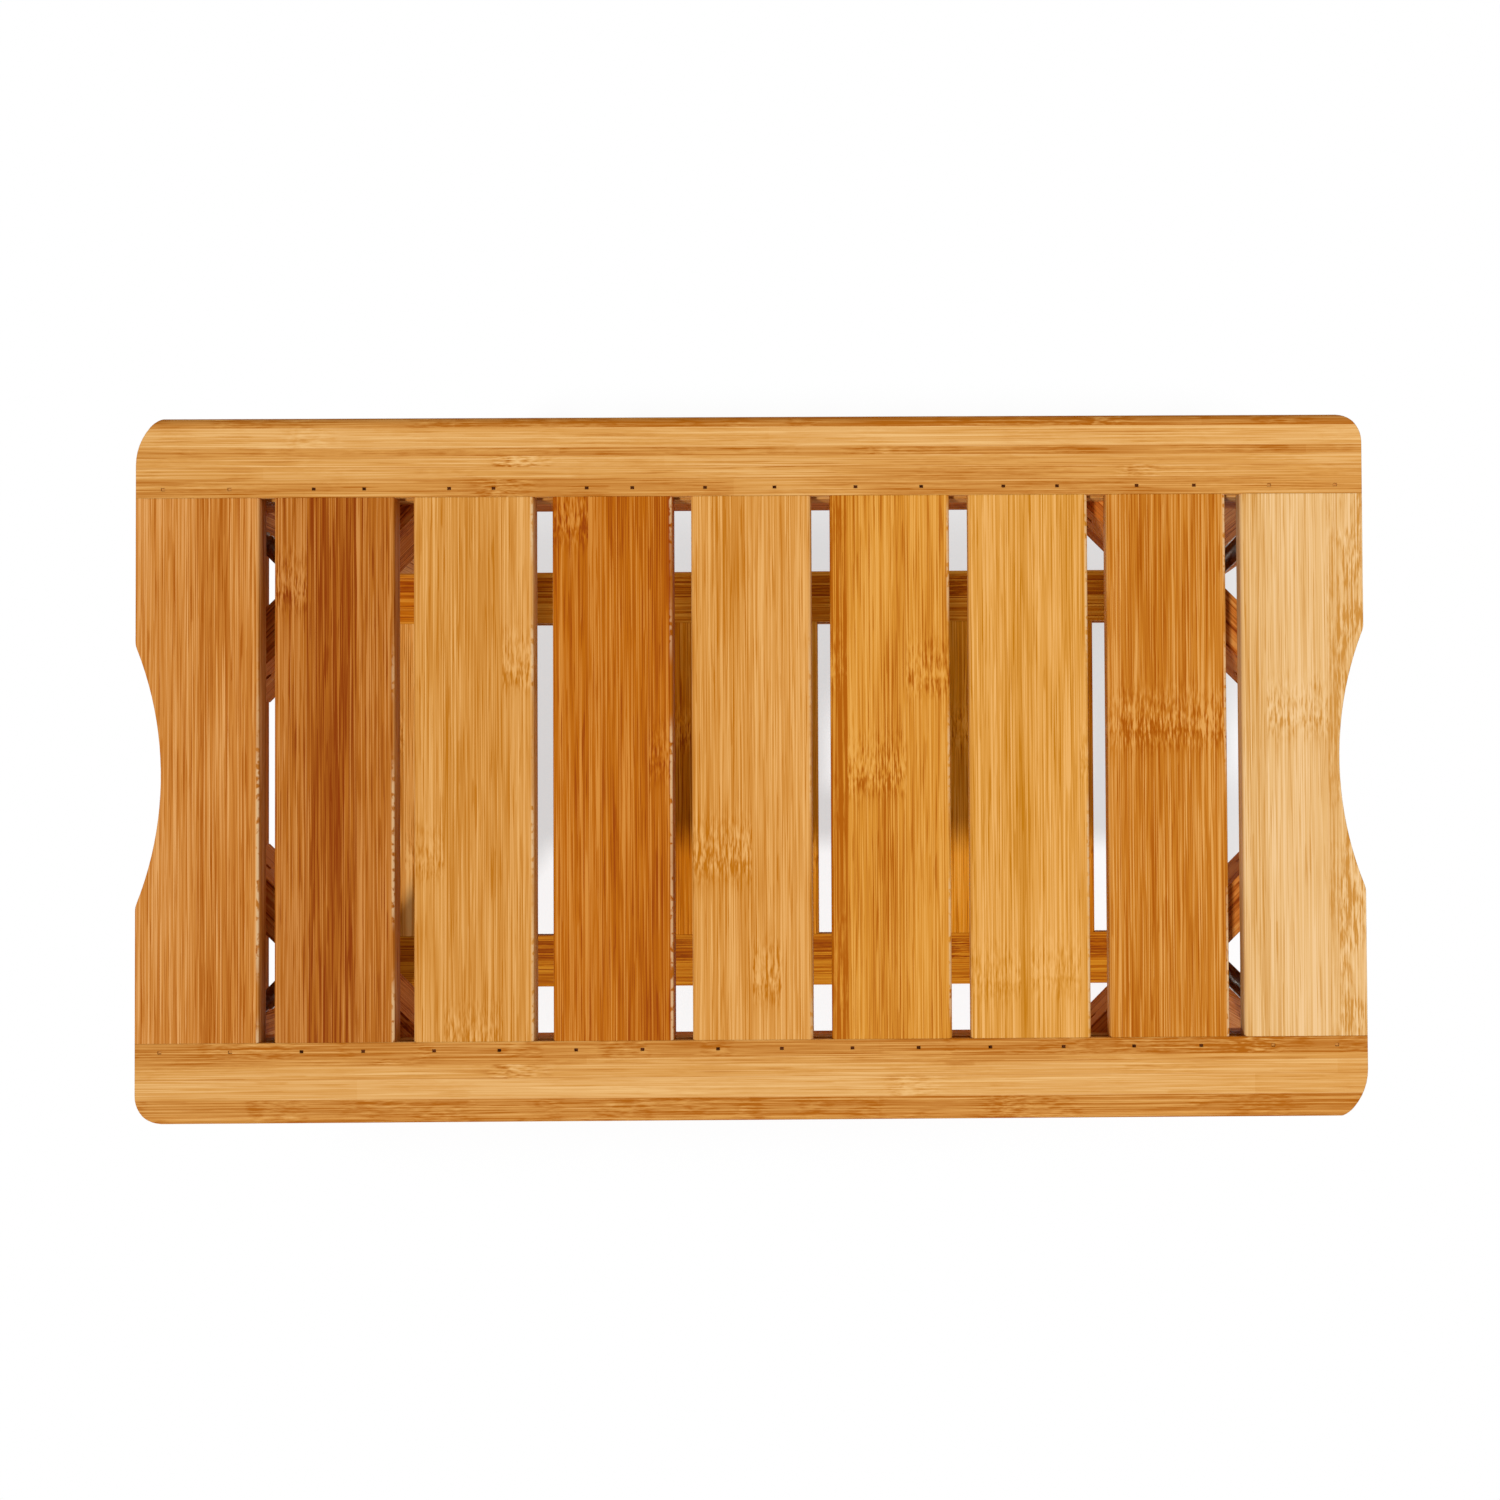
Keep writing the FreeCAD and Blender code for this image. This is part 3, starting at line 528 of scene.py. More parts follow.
    def knuckle(self, g: Graph, place: Socket, off: Socket) -> Socket:
        """Draws a knuckle's dashes and the shade behind its ridge.

        Args:
            g: The group's graph.
            place: The place on the board.
            off: How far along the board the ridge is.

        Returns:
            What a knuckle at full strength adds to the tone.
        """
        beyond, back = self.reach
        zone = g.product(g.smooth(off, 2 * MM, beyond, 1, 0), g.smooth(off, back, 0))
        shade = g.product(g.smooth(off, self.shade_reach, 0), g.smooth(off, -MM, MM, 1, 0),
                          self.shade)
        return g.math("MULTIPLY_ADD", zone, self.dashes.swing(g, place), shade)


@dataclass(frozen=True)
class PaintedArrisHighlight:
    """A painted highlight: a broken pale line along a board's upper far arris.

    Attributes:
        side: How wide it is full on the board's side part, and where it ends.
        top: The same from the top down.
        stretches: Where it comes and goes, by the seed and the place along the board.
        breaks: Where the painted highlight breaks off, by the place across and along the board and
            the seed.
    """

    side: tuple[float, float] = (0.7 * MM, 1.5 * MM)
    top: tuple[float, float] = (0.5 * MM, 1.3 * MM)
    stretches: Layer = Layer((1, 17, 1), detail=1, cut=(0.46, 0.6))
    breaks: Layer = Layer((500, 330, 1), cut=(0.36, 0.5))

    def build(self) -> bpy.types.NodeTree:
        """Makes the group.

        Returns:
            A group that takes a place on a board, the board's half width and half height and a
                seed, and gives a mask that is 1 where the painted highlight shows.
        """
        group = GroupBuilder("painted_arris_highlight", {"Place": VECTOR, "Half Width": NUMBER,
                                            "Half Height": NUMBER, "Seed": NUMBER}, ("Mask",))
        g, given = group.graph, group.given
        across, along, through = g.split(given["Place"])
        seed = given["Seed"]
        side = g.smooth(g.math("SUBTRACT", given["Half Width"], across), *self.side, 1, 0)
        top = g.smooth(g.math("SUBTRACT", given["Half Height"], through), *self.top, 1, 0)
        stretch = self.stretches.marks(g, g.join(seed, along, 0.0))
        breaks = self.breaks.marks(g, g.join(across, along, seed))
        return group.give(Mask=g.product(side, top, stretch, breaks))


class BambooShop:
    """Makes the bamboo material of each board."""

    GLUE_LINE = 0.22 * MM
    GLUE_SHADE = 0.4
    ROUNDING = 0.6 * MM
    BUMP = 0.1 * MM
    BUMP_STRENGTH = 0.25
    ROUGHNESS = (0.6, 0.5)
    LAP_SPREAD = 0.36
    # Colour of the painted highlight along the far upper arris.
    ARRIS_HIGHLIGHT_COLOUR = srgb(244, 208, 158)

    def __init__(self) -> None:
        """Builds the groups that all boards share."""
        self.figure = BambooFigure().build()
        self.arris = PaintedArrisHighlight().build()

    def dress(self, board: Board, finish: BambooFinish) -> None:
        """Gives a board its finish."""
        paint(board.node, self.material(board, finish))

    def material(self, board: Board, finish: BambooFinish) -> bpy.types.Material:
        """Makes the material of a board.

        Args:
            board: The board.
            finish: Its colours and strips.

        Returns:
            The material.
        """
        material, g, shader = new_material(finish.name)
        size, local = board.size(), self.local_place(g, board)
        across, along, through = g.split(local)
        share = g.math("MULTIPLY_ADD", across, 1 / size.x, 0.5)
        facts = g.ramp(share, [(strip.start, ((strip.tone + 1) / 2, strip.knuckle + 0.5,
                                              strip.strength, strip.mottle))
                               for strip in finish.strips], constant=True).outputs
        key, knuckle, strength = g.split(facts["Color"], "Color")
        tone = g.math("MULTIPLY_ADD", key, 2, -1)
        if finish.lap:
            tone = g.math("ADD", tone, self.lap_tone(g, along, key, finish.lap))
        distance = g.math("MULTIPLY_ADD", g.math("SUBTRACT", 0.5, knuckle), size.y, along)
        shift = g.math("MULTIPLY_ADD", key, 3.7, finish.seed)
        figure = g.group(self.figure, {
            "Place": g.join(g.math("ADD", across, shift), g.math("ADD", along, shift), through),
            "Tone": tone, "Knuckle Distance": distance, "Knuckle Strength": strength,
            "Mottle": facts["Alpha"], "Contrast": finish.contrast})
        level = figure["Tone"]
        stops = [(0.0, finish.deep), (0.5, finish.mid), (1.0, finish.pale)]
        colour = g.ramp(level, stops).outputs["Color"]
        lines = self.glue_lines(g, share, finish, size.x)
        colour = g.mix(g.product(lines, self.GLUE_SHADE), colour, finish.deep)
        # Painted highlight: a broken pale line along the board's upper far arris.
        if finish.arris_highlight:
            highlight = g.group(self.arris, {"Place": local, "Half Width": size.x / 2,
                                        "Half Height": size.z / 2, "Seed": finish.seed})
            colour = g.mix(g.product(highlight["Mask"], finish.arris_highlight), colour, self.ARRIS_HIGHLIGHT_COLOUR)
        g.feed(shader.inputs["Base Color"], colour)
        g.feed(shader.inputs["Roughness"], g.smooth(level, 0.0, 1.0, *self.ROUGHNESS))
        shader.inputs["Specular IOR Level"].default_value = WOOD_SPECULAR
        rounded = g.add("ShaderNodeBevel", samples=4)
        rounded.inputs["Radius"].default_value = self.ROUNDING
        g.bump(shader, figure["Height"], self.BUMP_STRENGTH, self.BUMP, rounded.outputs[0])
        return material

    def local_place(self, g: Graph, board: Board) -> Socket:
        """Measures from a board's middle.

        Args:
            g: The material's graph.
            board: The board.

        Returns:
            The place across, along and through the board.
        """
        turn = board.grain.turn()
        node = g.add("ShaderNodeMapping")
        g.feed(node.inputs["Vector"], g.place())
        node.inputs["Location"].default_value = -(turn @ board.middle())
        node.inputs["Rotation"].default_value = turn.to_euler()
        return node.outputs[0]

    def glue_lines(self, g: Graph, share: Socket, finish: BambooFinish, width: float) -> Socket:
        """Draws the thin lines between strips.

        Args:
            g: The material's graph.
            share: The place across the board, 0 to 1.
            finish: The board's finish.
            width: The board's width.

        Returns:
            A mask that is 1 on the lines.
        """
        half = self.GLUE_LINE / width
        stops = [(0.0, BLACK)]
        for strip in finish.strips[1:]:
            stops += [(strip.start - half, BLACK), (strip.start, WHITE),
                      (strip.start + half, BLACK)]
        return g.ramp(share, [*stops, (1.0, BLACK)]).outputs["Color"]

    def lap_tone(self, g: Graph, along: Socket, key: Socket, lap: float) -> Socket:
        """Gives each jointed piece of a strip a tone of its own.

        Args:
            g: The material's graph.
            along: The place along the board.
            key: A number that sets strips apart.
            lap: Length of a piece.

        Returns:
            The tone to add.
        """
        piece = g.math("FLOOR", g.math("MULTIPLY_ADD", along, 1 / lap, g.product(key, 9.3)))
        white = g.add("ShaderNodeTexWhiteNoise", noise_dimensions="2D")
        g.feed(white.inputs["Vector"], g.join(piece, g.product(key, 31.7), 0.0))
        return g.swing(white.outputs["Value"], self.LAP_SPREAD)


@dataclass(frozen=True)
class SteelFinish:
    """Plated steel.

    Attributes:
        name: Name of the material.
        colour: Its reflection's colour.
        tarnish: Colour of its dull patches.
        roughness: How blurred its reflections are.
        duller: How much more blurred they are where it is dull.
        patches: Its dull patches.
        grain: Its fine grain.
    """

    name: str
    colour: Rgba
    tarnish: Rgba
    roughness: float
    duller: float = 0.2
    patches: Layer = Layer((420, 420, 420), detail=4, roughness=0.6, cut=(0.35, 0.7))
    grain: Layer = Layer((2200, 2200, 2200))

    def material(self) -> bpy.types.Material:
        """Makes the material.

        Returns:
            The material.
        """
        material, g, shader = new_material(self.name)
        place = g.place()
        patches = self.patches.draw(g, place)
        dull = g.smooth(patches, *self.patches.cut)
        g.feed(shader.inputs["Base Color"], g.mix(dull, self.colour, self.tarnish))
        g.feed(shader.inputs["Roughness"],
               g.smooth(patches, 0.3, 0.75, self.roughness, self.roughness + self.duller))
        shader.inputs["Metallic"].default_value = 1.0
        g.bump(shader, self.grain.draw(g, place), 0.15, 0.05 * MM)
        return material


@dataclass(frozen=True)
class BradFinish:
    """The brads' heads: browned steel, and wood filler over those in the end boards.

    Attributes:
        name: Name of the material.
        steel: The bare heads' colour.
        rust: Colour of their stains.
        filler: The filler's colour.
        filled_beyond: How far from the bench's middle the filled ones start.
        stains: Where the rust is.
    """

    name: str = "brad_steel"
    steel: Rgba = srgb(86, 40, 12)
    rust: Rgba = srgb(54, 22, 5)
    filler: Rgba = srgb(204, 140, 68)
    filled_beyond: float = 203 * MM
    stains: Layer = Layer((700, 700, 700), cut=(0.4, 0.65))

    def material(self) -> bpy.types.Material:
        """Makes the material.

        Returns:
            The material.
        """
        material, g, shader = new_material(self.name)
        place = g.place()
        stains = self.stains.marks(g, place)
        far = g.math("ABSOLUTE", g.split(place)[0])
        filled = g.smooth(far, self.filled_beyond, self.filled_beyond + MM)
        head = g.mix(stains, self.steel, self.rust)
        g.feed(shader.inputs["Base Color"], g.mix(filled, head, self.filler))
        g.feed(shader.inputs["Metallic"], g.smooth(filled, 0.0, 1.0, 0.25, 0.0))
        g.feed(shader.inputs["Roughness"], g.smooth(stains, 0.0, 1.0, 0.5, 0.75))
        shader.inputs["Specular IOR Level"].default_value = WOOD_SPECULAR
        return material


@dataclass(frozen=True)
class RubberFinish:
    """Matt rubber with a fine grain.

    Attributes:
        name: Name of the material.
        colour: Its colour.
        dust: Colour where it is dusty.
        patches: Its dusty patches.
        grain: Its fine grain.
    """

    name: str = "rubber_pad"
    colour: Rgba = srgb(28, 28, 29)
    dust: Rgba = srgb(62, 60, 58)
    patches: Layer = Layer((160, 160, 160), detail=3, roughness=0.6, cut=(0.45, 0.75))
    grain: Layer = Layer((1800, 1800, 1800))

    def material(self) -> bpy.types.Material:
        """Makes the material.

        Returns:
            The material.
        """
        material, g, shader = new_material(self.name)
        place = g.place()
        patches = self.patches.draw(g, place)
        dusty = g.smooth(patches, *self.patches.cut)
        g.feed(shader.inputs["Base Color"], g.mix(dusty, self.colour, self.dust))
        g.feed(shader.inputs["Roughness"], g.smooth(patches, 0.3, 0.7, 0.62, 0.8))
        g.bump(shader, self.grain.draw(g, place), 0.4, 0.1 * MM)
        return material


BRIGHT_STEEL = SteelFinish("zinc_steel", srgb(196, 194, 188), srgb(138, 134, 124), 0.28)
DULL_STEEL = SteelFinish("screw_steel", srgb(112, 98, 82), srgb(66, 52, 40), 0.42)

RAIL_COLOURS = (srgb(178, 100, 16), srgb(219, 157, 80), srgb(240, 191, 124))
FRAME_COLOURS = (srgb(154, 68, 12), srgb(220, 128, 46), srgb(238, 164, 80))
SHELF_COLOURS = ((srgb(150, 67, 2), srgb(200, 114, 2), srgb(222, 147, 51)),
                 (srgb(162, 83, 2), srgb(214, 133, 18), srgb(232, 162, 65)))
SHELF_RAIL_COLOURS = ((srgb(150, 64, 2), srgb(194, 108, 6), srgb(222, 148, 48)),
                      (srgb(140, 60, 3), srgb(184, 102, 6), srgb(212, 140, 34)))
SHELF_END_COLOURS = (srgb(168, 93, 3), srgb(214, 143, 61), srgb(234, 176, 101))

# Each finish's last strength after its strips sets how strongly its painted arris highlight shows.
SEAT_FINISHES = (
    BambooFinish("bamboo_end_board_left", srgb(172, 90, 10), srgb(206, 132, 54), srgb(229, 166, 98),
                 (Strip(0.0, 0.25), Strip(0.5, -0.35), Strip(0.84, -0.1)), arris_highlight=0.9, seed=1.3),
    BambooFinish("bamboo_seat_slat_1", srgb(142, 60, 4), srgb(183, 106, 28), srgb(210, 141, 72),
                 (Strip(0.0, 0.3, 0.301, 0.8), Strip(0.27, -0.65), Strip(0.68, 0.2)),
                 arris_highlight=0.8, seed=2.9),
    BambooFinish("bamboo_seat_slat_2", srgb(192, 117, 22), srgb(217, 151, 71), srgb(234, 176, 104),
                 (Strip(0.0, 0.1, -0.162, 0.6), Strip(0.25, -0.2, -0.472, 0.7),
                  Strip(0.74, 0.15, 0.163, 1.0)), arris_highlight=0.8, seed=4.1),
    BambooFinish("bamboo_seat_slat_3", srgb(156, 68, 4), srgb(191, 106, 10), srgb(216, 142, 60),
                 (Strip(0.0, 0.15, 0.412, 0.9), Strip(0.3, 0.45), Strip(0.41, -0.1),
                  Strip(0.8, -0.4, 0.006, 0.6)), arris_highlight=0.8, seed=5.7),
    BambooFinish("bamboo_seat_slat_4", srgb(192, 114, 14), srgb(218, 151, 70), srgb(236, 178, 105),
                 (Strip(0.0, -0.05, -0.162, 1.0), Strip(0.5, 0.25, -0.373, 0.9), Strip(0.75, 0.05)),
                 arris_highlight=0.6, seed=7.2),
    BambooFinish("bamboo_seat_slat_5", srgb(178, 94, 6), srgb(216, 143, 47), srgb(234, 170, 82),
                 (Strip(0.0, -1.0, 0.156, 0.6, 0.25), Strip(0.14, 0.0, -0.02, 0.9),
                  Strip(0.63, 0.25, 0.147, 0.7)), arris_highlight=0.6, seed=8.8),
    BambooFinish("bamboo_seat_slat_6", srgb(196, 123, 16), srgb(224, 158, 70), srgb(241, 183, 107),
                 (Strip(0.0, 0.0, -0.373, 0.5), Strip(0.42, -0.4), Strip(0.5, 0.1, -0.366, 0.5),
                  Strip(0.92, -0.2, -0.003, 0.6)), arris_highlight=0.7, seed=10.3),
    BambooFinish("bamboo_seat_slat_7", srgb(172, 87, 2), srgb(201, 124, 34), srgb(228, 164, 86),
                 (Strip(0.0, 0.5, 0.057, 0.6), Strip(0.1, -0.2, 0.057, 1.0),
                  Strip(0.5, 0.0, 0.059, 1.0), Strip(0.7, 0.1, 0.055, 1.0)), arris_highlight=0.8, seed=11.9),
    BambooFinish("bamboo_end_board_right", srgb(206, 143, 63), srgb(232, 184, 119),
                 srgb(243, 202, 148),
                 (Strip(0.0, -0.2), Strip(0.2, 0.3, 0.077, 0.8), Strip(0.7, -0.05, 0.2, 0.2, 0.3),
                  Strip(0.78, 0.1, 0.25, 0.2, 1.0)), arris_highlight=0.3, seed=13.4),
)
BACK_RAIL_FINISH = BambooFinish(
    "bamboo_seat_rail_back", *RAIL_COLOURS,
    (Strip(0.0, -0.7, 0.28, 0.6, 0.3), Strip(0.14, 0.5, -0.37, 0.3, 0.1),
     Strip(0.39, -0.3, 0.1, 0.3, 0.15), Strip(0.49, 0.1, -0.196, 0.9, 0.1),
     Strip(0.63, 0.0, 0.31, 0.4, 0.12), Strip(0.78, -0.35, -0.21, 0.5, 0.1)),
    lap=0.31, seed=15.1, contrast=0.6)
FRONT_RAIL_FINISH = BambooFinish(
    "bamboo_seat_rail_front", *RAIL_COLOURS,
    (Strip(0.0, -0.6, 0.4, 0.6, 0.3), Strip(0.2, -0.1, -0.3, 0.3, 0.1),
     Strip(0.28, 0.15, -0.2, 0.6, 0.1), Strip(0.45, 0.6, 0.12, 0.4, 0.08),
     Strip(0.7, -0.6, 0.2, 0.5, 0.3)),
    lap=0.37, seed=16.6, contrast=0.6)
FRAME_STRIPS = (Strip(0.0, -0.2, 0.21, 0.6), Strip(0.36, 0.25, -0.12, 0.5),
                Strip(0.7, 0.0, 0.33, 0.6))
# The shelf rails' strips also paint light and shade: the pale first strip is a painted highlight on
# the outer arris, and the dark second strip is painted shade over the rail's outer half.
SHELF_RAIL_STRIPS_AND_SHADE = (Strip(0.0, 0.5), Strip(0.11, -0.5, 0.2, 0.5, 0.2),
                     Strip(0.5, 0.5, -0.1, 0.5, 0.1), Strip(0.74, 0.3, 0.3, 0.4))
SHELF_BOARD_STRIPS = (Strip(0.0, -0.1, 0.12, 0.7), Strip(0.5, 0.2, -0.24, 0.6))


class Driven(Enum):
    """Which way a fixing points: out to its corner, up, or level towards the bench's middle."""

    TO_CORNER = (1, 1, 0)
    UP = (0, 0, 1)
    TO_MIDDLE = (-1, 0, 0)

    def direction(self, points: list[Vector]) -> Vector:
        """Works out which way a solid points.

        Args:
            points: The solid's points.

        Returns:
            Its direction, of length 1.
        """
        middle = sum(points, Vector()) / len(points)
        x, y, z = self.value
        side, end = math.copysign(1, middle.x), math.copysign(1, middle.y)
        return Vector((x * side, y * end, z)).normalized()


@dataclass(frozen=True)
class Fixing:
    """A straight fixing found in the frame.

    Attributes:
        head: The middle of its head's top, or of the face it starts with.
        direction: The way it points.
        length: Its length.
    """

    head: Vector
    direction: Vector
    length: float

    @classmethod
    def measured(cls, points: list[Vector], direction: Vector) -> "Fixing":
        """Measures a solid.

        Args:
            points: The solid's points.
            direction: The way it points.

        Returns:
            The fixing.
        """
        reach = [point.dot(direction) for point in points]
        side = [point - direction * far for point, far in zip(points, reach)]
        low = Vector([min(values) for values in zip(*side)])
        high = Vector([max(values) for values in zip(*side)])
        return cls((low + high) / 2 + direction * min(reach), direction, max(reach) - min(reach))

    def matrix(self) -> Matrix:
        """Returns the move that puts a piece made along -Z, its head at zero, in its place."""
        turn = Vector((0, 0, -1)).rotation_difference(self.direction).to_matrix().to_4x4()
        return Matrix.Translation(self.head) @ turn


def solids(obj: bpy.types.Object) -> list[list[Vector]]:
    """Splits a node's mesh into the points of its separate solids.

    Args:
        obj: The node's object.

    Returns:
        One list of points for each solid.
    """
    body = bmesh.new()
    body.from_mesh(obj.data)
    bmesh.ops.remove_doubles(body, verts=body.verts, dist=HAIR)
    seen: set[bmesh.types.BMVert] = set()
    groups = []
    for start in body.verts:
        if start in seen:
            continue
        seen.add(start)
        waiting, points = [start], []
        while waiting:
            vert = waiting.pop()
            points.append(vert.co.copy())
            for other in (edge.other_vert(vert) for edge in vert.link_edges):
                if other not in seen:
                    seen.add(other)
                    waiting.append(other)
        groups.append(points)
    body.free()
    return groups


def turned(body: bmesh.types.BMesh, outline: list[tuple[float, float]], steps: int) -> None:
    """Spins an outline about Z, and closes the skin.

    Args:
        body: The mesh to add to, empty so far.
        outline: Points of (radius, height).
        steps: Number of steps in the full turn.
    """
    verts = [body.verts.new((radius, 0, height)) for radius, height in outline]
    edges = [body.edges.new(pair) for pair in zip(verts, verts[1:])]
    bmesh.ops.spin(body, geom=[*verts, *edges], cent=(0, 0, 0), axis=(0, 0, 1), angle=FULL_TURN,
                   steps=steps, use_merge=True)
    bmesh.ops.remove_doubles(body, verts=body.verts, dist=HAIR)
    bmesh.ops.holes_fill(body, edges=body.edges, sides=0)
    bmesh.ops.recalc_face_normals(body, faces=body.faces)


def wind_thread(body: bmesh.types.BMesh, core: float, crest: float, pitch: float, start: float,
                end: float, share: float, steps: int) -> None:
    """Winds a thread's ridge round a shank that runs down Z.

    Args:
        body: The mesh to add to.
        core: Radius of the shank.
        crest: Radius of the ridge.
        pitch: Distance between turns.
        start: Height of the ridge's upper end.
        end: Height of its lower end.
        share: Width of the ridge's foot as a share of the pitch.
        steps: Steps in a turn.
    """
    foot, root = pitch * share, core * THREAD_ROOT
    count = int((start - end - foot) / pitch * steps)
    section = [body.verts.new((radius, 0, height)) for radius, height in
               ((root, start), (crest, start - foot / 2), (root, start - foot))]
    edges = [body.edges.new((section[k - 1], section[k])) for k in range(len(section))]
    wound = bmesh.ops.spin(body, geom=[*section, *edges], cent=(0, 0, 0), axis=(0, 0, 1),
                           angle=FULL_TURN * count / steps, steps=count,
                           dvec=(0, 0, -pitch / steps))
    last = [part for part in wound["geom_last"] if isinstance(part, bmesh.types.BMEdge)]
    for ring in (edges, last):
        bmesh.ops.contextual_create(body, geom=ring)
    bmesh.ops.recalc_face_normals(body, faces=body.faces)


def ease(body: bmesh.types.BMesh, edges: list[bmesh.types.BMEdge], offset: float,
         segments: int) -> None:
    """Rounds edges.

    Args:
        body: The mesh.
        edges: The edges.
        offset: How far the rounding reaches.
        segments: Number of faces across it.
    """
    bmesh.ops.bevel(body, geom=edges, offset=offset, segments=segments, profile=0.5,
                    affect="EDGES", material=-1)


@dataclass(frozen=True)
class WoodScrew:
    """A wood screw with a cross recess; it lies along -Z with its head's top at zero.

    Attributes:
        head: Diameter of its head.
        head_height: Height of its head.
        shank: Diameter of its shank and thread.
        pitch: Pitch of its thread.
        steps: Steps round it, a multiple of 24 for the recess.
        crown: The head's outline, as shares of its radius and its height.
        plain: Length of the plain shank as a share of the screw's.
        core: Radius under the thread as a share of the shank's diameter.
    """

    head: float = 7.6 * MM
    head_height: float = 2.6 * MM
    shank: float = 4 * MM
    pitch: float = 1.8 * MM
    steps: int = 24
    crown: tuple[tuple[float, float], ...] = ((0.7, 0.0), (0.9, -0.14), (1.0, -0.42), (1.0, -1.0))
    plain: float = 0.3
    core: float = 0.35

    def mesh(self, length: float) -> bpy.types.Mesh:
        """Makes the screw.

        Args:
            length: Its length.

        Returns:
            Its mesh.
        """
        rim, top, crest = self.head / 2, self.head_height, self.shank / 2
        core, neck = self.shank * self.core, crest * 0.98
        plain, tip = -top - length * self.plain, self.shank - length
        outline = [(rim * out, top * down) for out, down in self.crown]
        outline += [(neck, -top - 0.1 * MM), (neck, plain), (core, plain - 0.4 * MM), (core, tip),
                    (0, -length)]
        body = bmesh.new()
        turned(body, outline, self.steps)
        self.cut_recess(body)
        wind_thread(body, core, crest, self.pitch, plain - 0.6 * MM, tip, share=0.4, steps=12)
        return finished(body, "wood_screw")

    def cut_recess(self, body: bmesh.types.BMesh) -> None:
        """Sinks the cross recess into the head's top.

        Args:
            body: The screw, whose top is one face so far.
        """
        body.faces.ensure_lookup_table()
        top = max(body.faces, key=lambda face: face.calc_center_median().z)
        bmesh.ops.inset_individual(body, faces=[top], thickness=self.head * 0.05,
                                   use_even_offset=True)
        eighth = FULL_TURN / 8
        inner = [vert for vert in top.verts
                 if abs(math.atan2(vert.co.y, vert.co.x) % (2 * eighth) - eighth) < eighth * 0.5]
        bmesh.ops.scale(body, vec=(0.42, 0.42, 1), verts=inner)
        bmesh.ops.inset_individual(body, faces=[top], thickness=self.head * 0.02,
                                   depth=-self.head_height * 0.6)


@dataclass(frozen=True)
class HangerBolt:
    """A rod with a machine thread for the nut and a wood thread for the leg; it lies along -Z.

    Attributes:
        diameter: Its diameter.
        pitch: Pitch of the machine thread.
        machine: Length of the machine thread.
        coarse: Pitch of the wood thread.
        wooden: Length of the wood thread.
        chamfer: Size of the chamfer at its machine end.
        steps: Steps round it.
    """

    diameter: float = 8 * MM
    pitch: float = 1.25 * MM
    machine: float = 34 * MM
    coarse: float = 3.2 * MM
    wooden: float = 28 * MM
    chamfer: float = 1 * MM
    steps: int = 24

    def mesh(self, length: float) -> bpy.types.Mesh:
        """Makes the bolt.

        Args:
            length: Its length.

        Returns:
            Its mesh.
        """
        crest, chamfer = self.diameter / 2, self.chamfer
        core = crest - self.pitch * 0.6
        thin, tip, shoulder = core * 0.9, self.diameter * 0.8 - length, self.wooden - length
        outline = [(core - chamfer * 0.6, 0), (core, -chamfer * 0.6), (core, -self.machine),
                   (crest, -self.machine - 0.5 * MM), (crest, shoulder),
                   (thin, shoulder - 0.8 * MM), (thin, tip), (0, -length)]
        body = bmesh.new()
        turned(body, outline, self.steps)
        wind_thread(body, core, crest, self.pitch, -chamfer * 0.5, -self.machine, share=0.9,
                    steps=self.steps)
        wind_thread(body, thin, crest, self.coarse, shoulder - MM, tip, share=0.4, steps=18)
        return finished(body, "hanger_bolt")


@dataclass(frozen=True)
class HexNut:
    """A hexagon nut, chamfered at both ends; it lies along -Z from zero.

    Attributes:
        flats: Its width across flats.
        bore: Diameter of its bore.
        sides: Number of its sides.
        steps: Number of points round it, a multiple of its sides.
        facets: Number of planes that each chamfer is cut with.
        slope: The chamfers' slope.
        chamfer_start: Radius where a chamfer meets the end, as a share of the flats.
    """

    flats: float = 13 * MM
    bore: float = 7.4 * MM
    sides: int = 6
    steps: int = 24
    facets: int = 18
    slope: float = math.radians(30)
    chamfer_start: float = 0.475

    def mesh(self, height: float) -> bpy.types.Mesh:
        """Makes the nut.

        Args:
            height: Its height.

        Returns:
            Its mesh.
        """
        body = bmesh.new()
        corner = self.flats / 2 / math.cos(math.pi / self.sides)
        bmesh.ops.create_circle(body, segments=self.sides, radius=corner)
        bmesh.ops.subdivide_edges(body, edges=body.edges, cuts=self.steps // self.sides - 1)
        bmesh.ops.create_circle(body, segments=self.steps, radius=self.bore / 2)
        ring = bmesh.ops.bridge_loops(body, edges=body.edges)["faces"]
        raised = bmesh.ops.extrude_face_region(body, geom=ring)["geom"]
        lowered = [part for part in raised if isinstance(part, bmesh.types.BMVert)]
        bmesh.ops.translate(body, vec=(0, 0, -height), verts=lowered)
        bmesh.ops.recalc_face_normals(body, faces=body.faces)
        for number in range(self.facets):
            angle = FULL_TURN * number / self.facets
            out = Vector((math.cos(angle), math.sin(angle), 0))
            for end, up in ((0.0, 1), (-height, -1)):
                point = out * self.flats * self.chamfer_start + Vector((0, 0, end))
                normal = out * math.sin(self.slope) + Vector((0, 0, up * math.cos(self.slope)))
                self.shave(body, point, normal)
        return finished(body, "hex_nut")

    def shave(self, body: bmesh.types.BMesh, point: Vector, normal: Vector) -> None:
        """Cuts off what lies beyond a plane, and closes the cut.

        Args:
            body: The nut.
            point: A point of the plane.
            normal: The plane's normal, towards what is cut off.
        """
        geom = [*body.verts, *body.edges, *body.faces]
        cut = bmesh.ops.bisect_plane(body, geom=geom, dist=HAIR / 10, plane_co=point,
                                     plane_no=normal, clear_outer=True)["geom_cut"]
        rim = [part for part in cut if isinstance(part, bmesh.types.BMEdge) and part.is_boundary]
        if len(rim) > 2:
            bmesh.ops.holes_fill(body, edges=rim, sides=0)


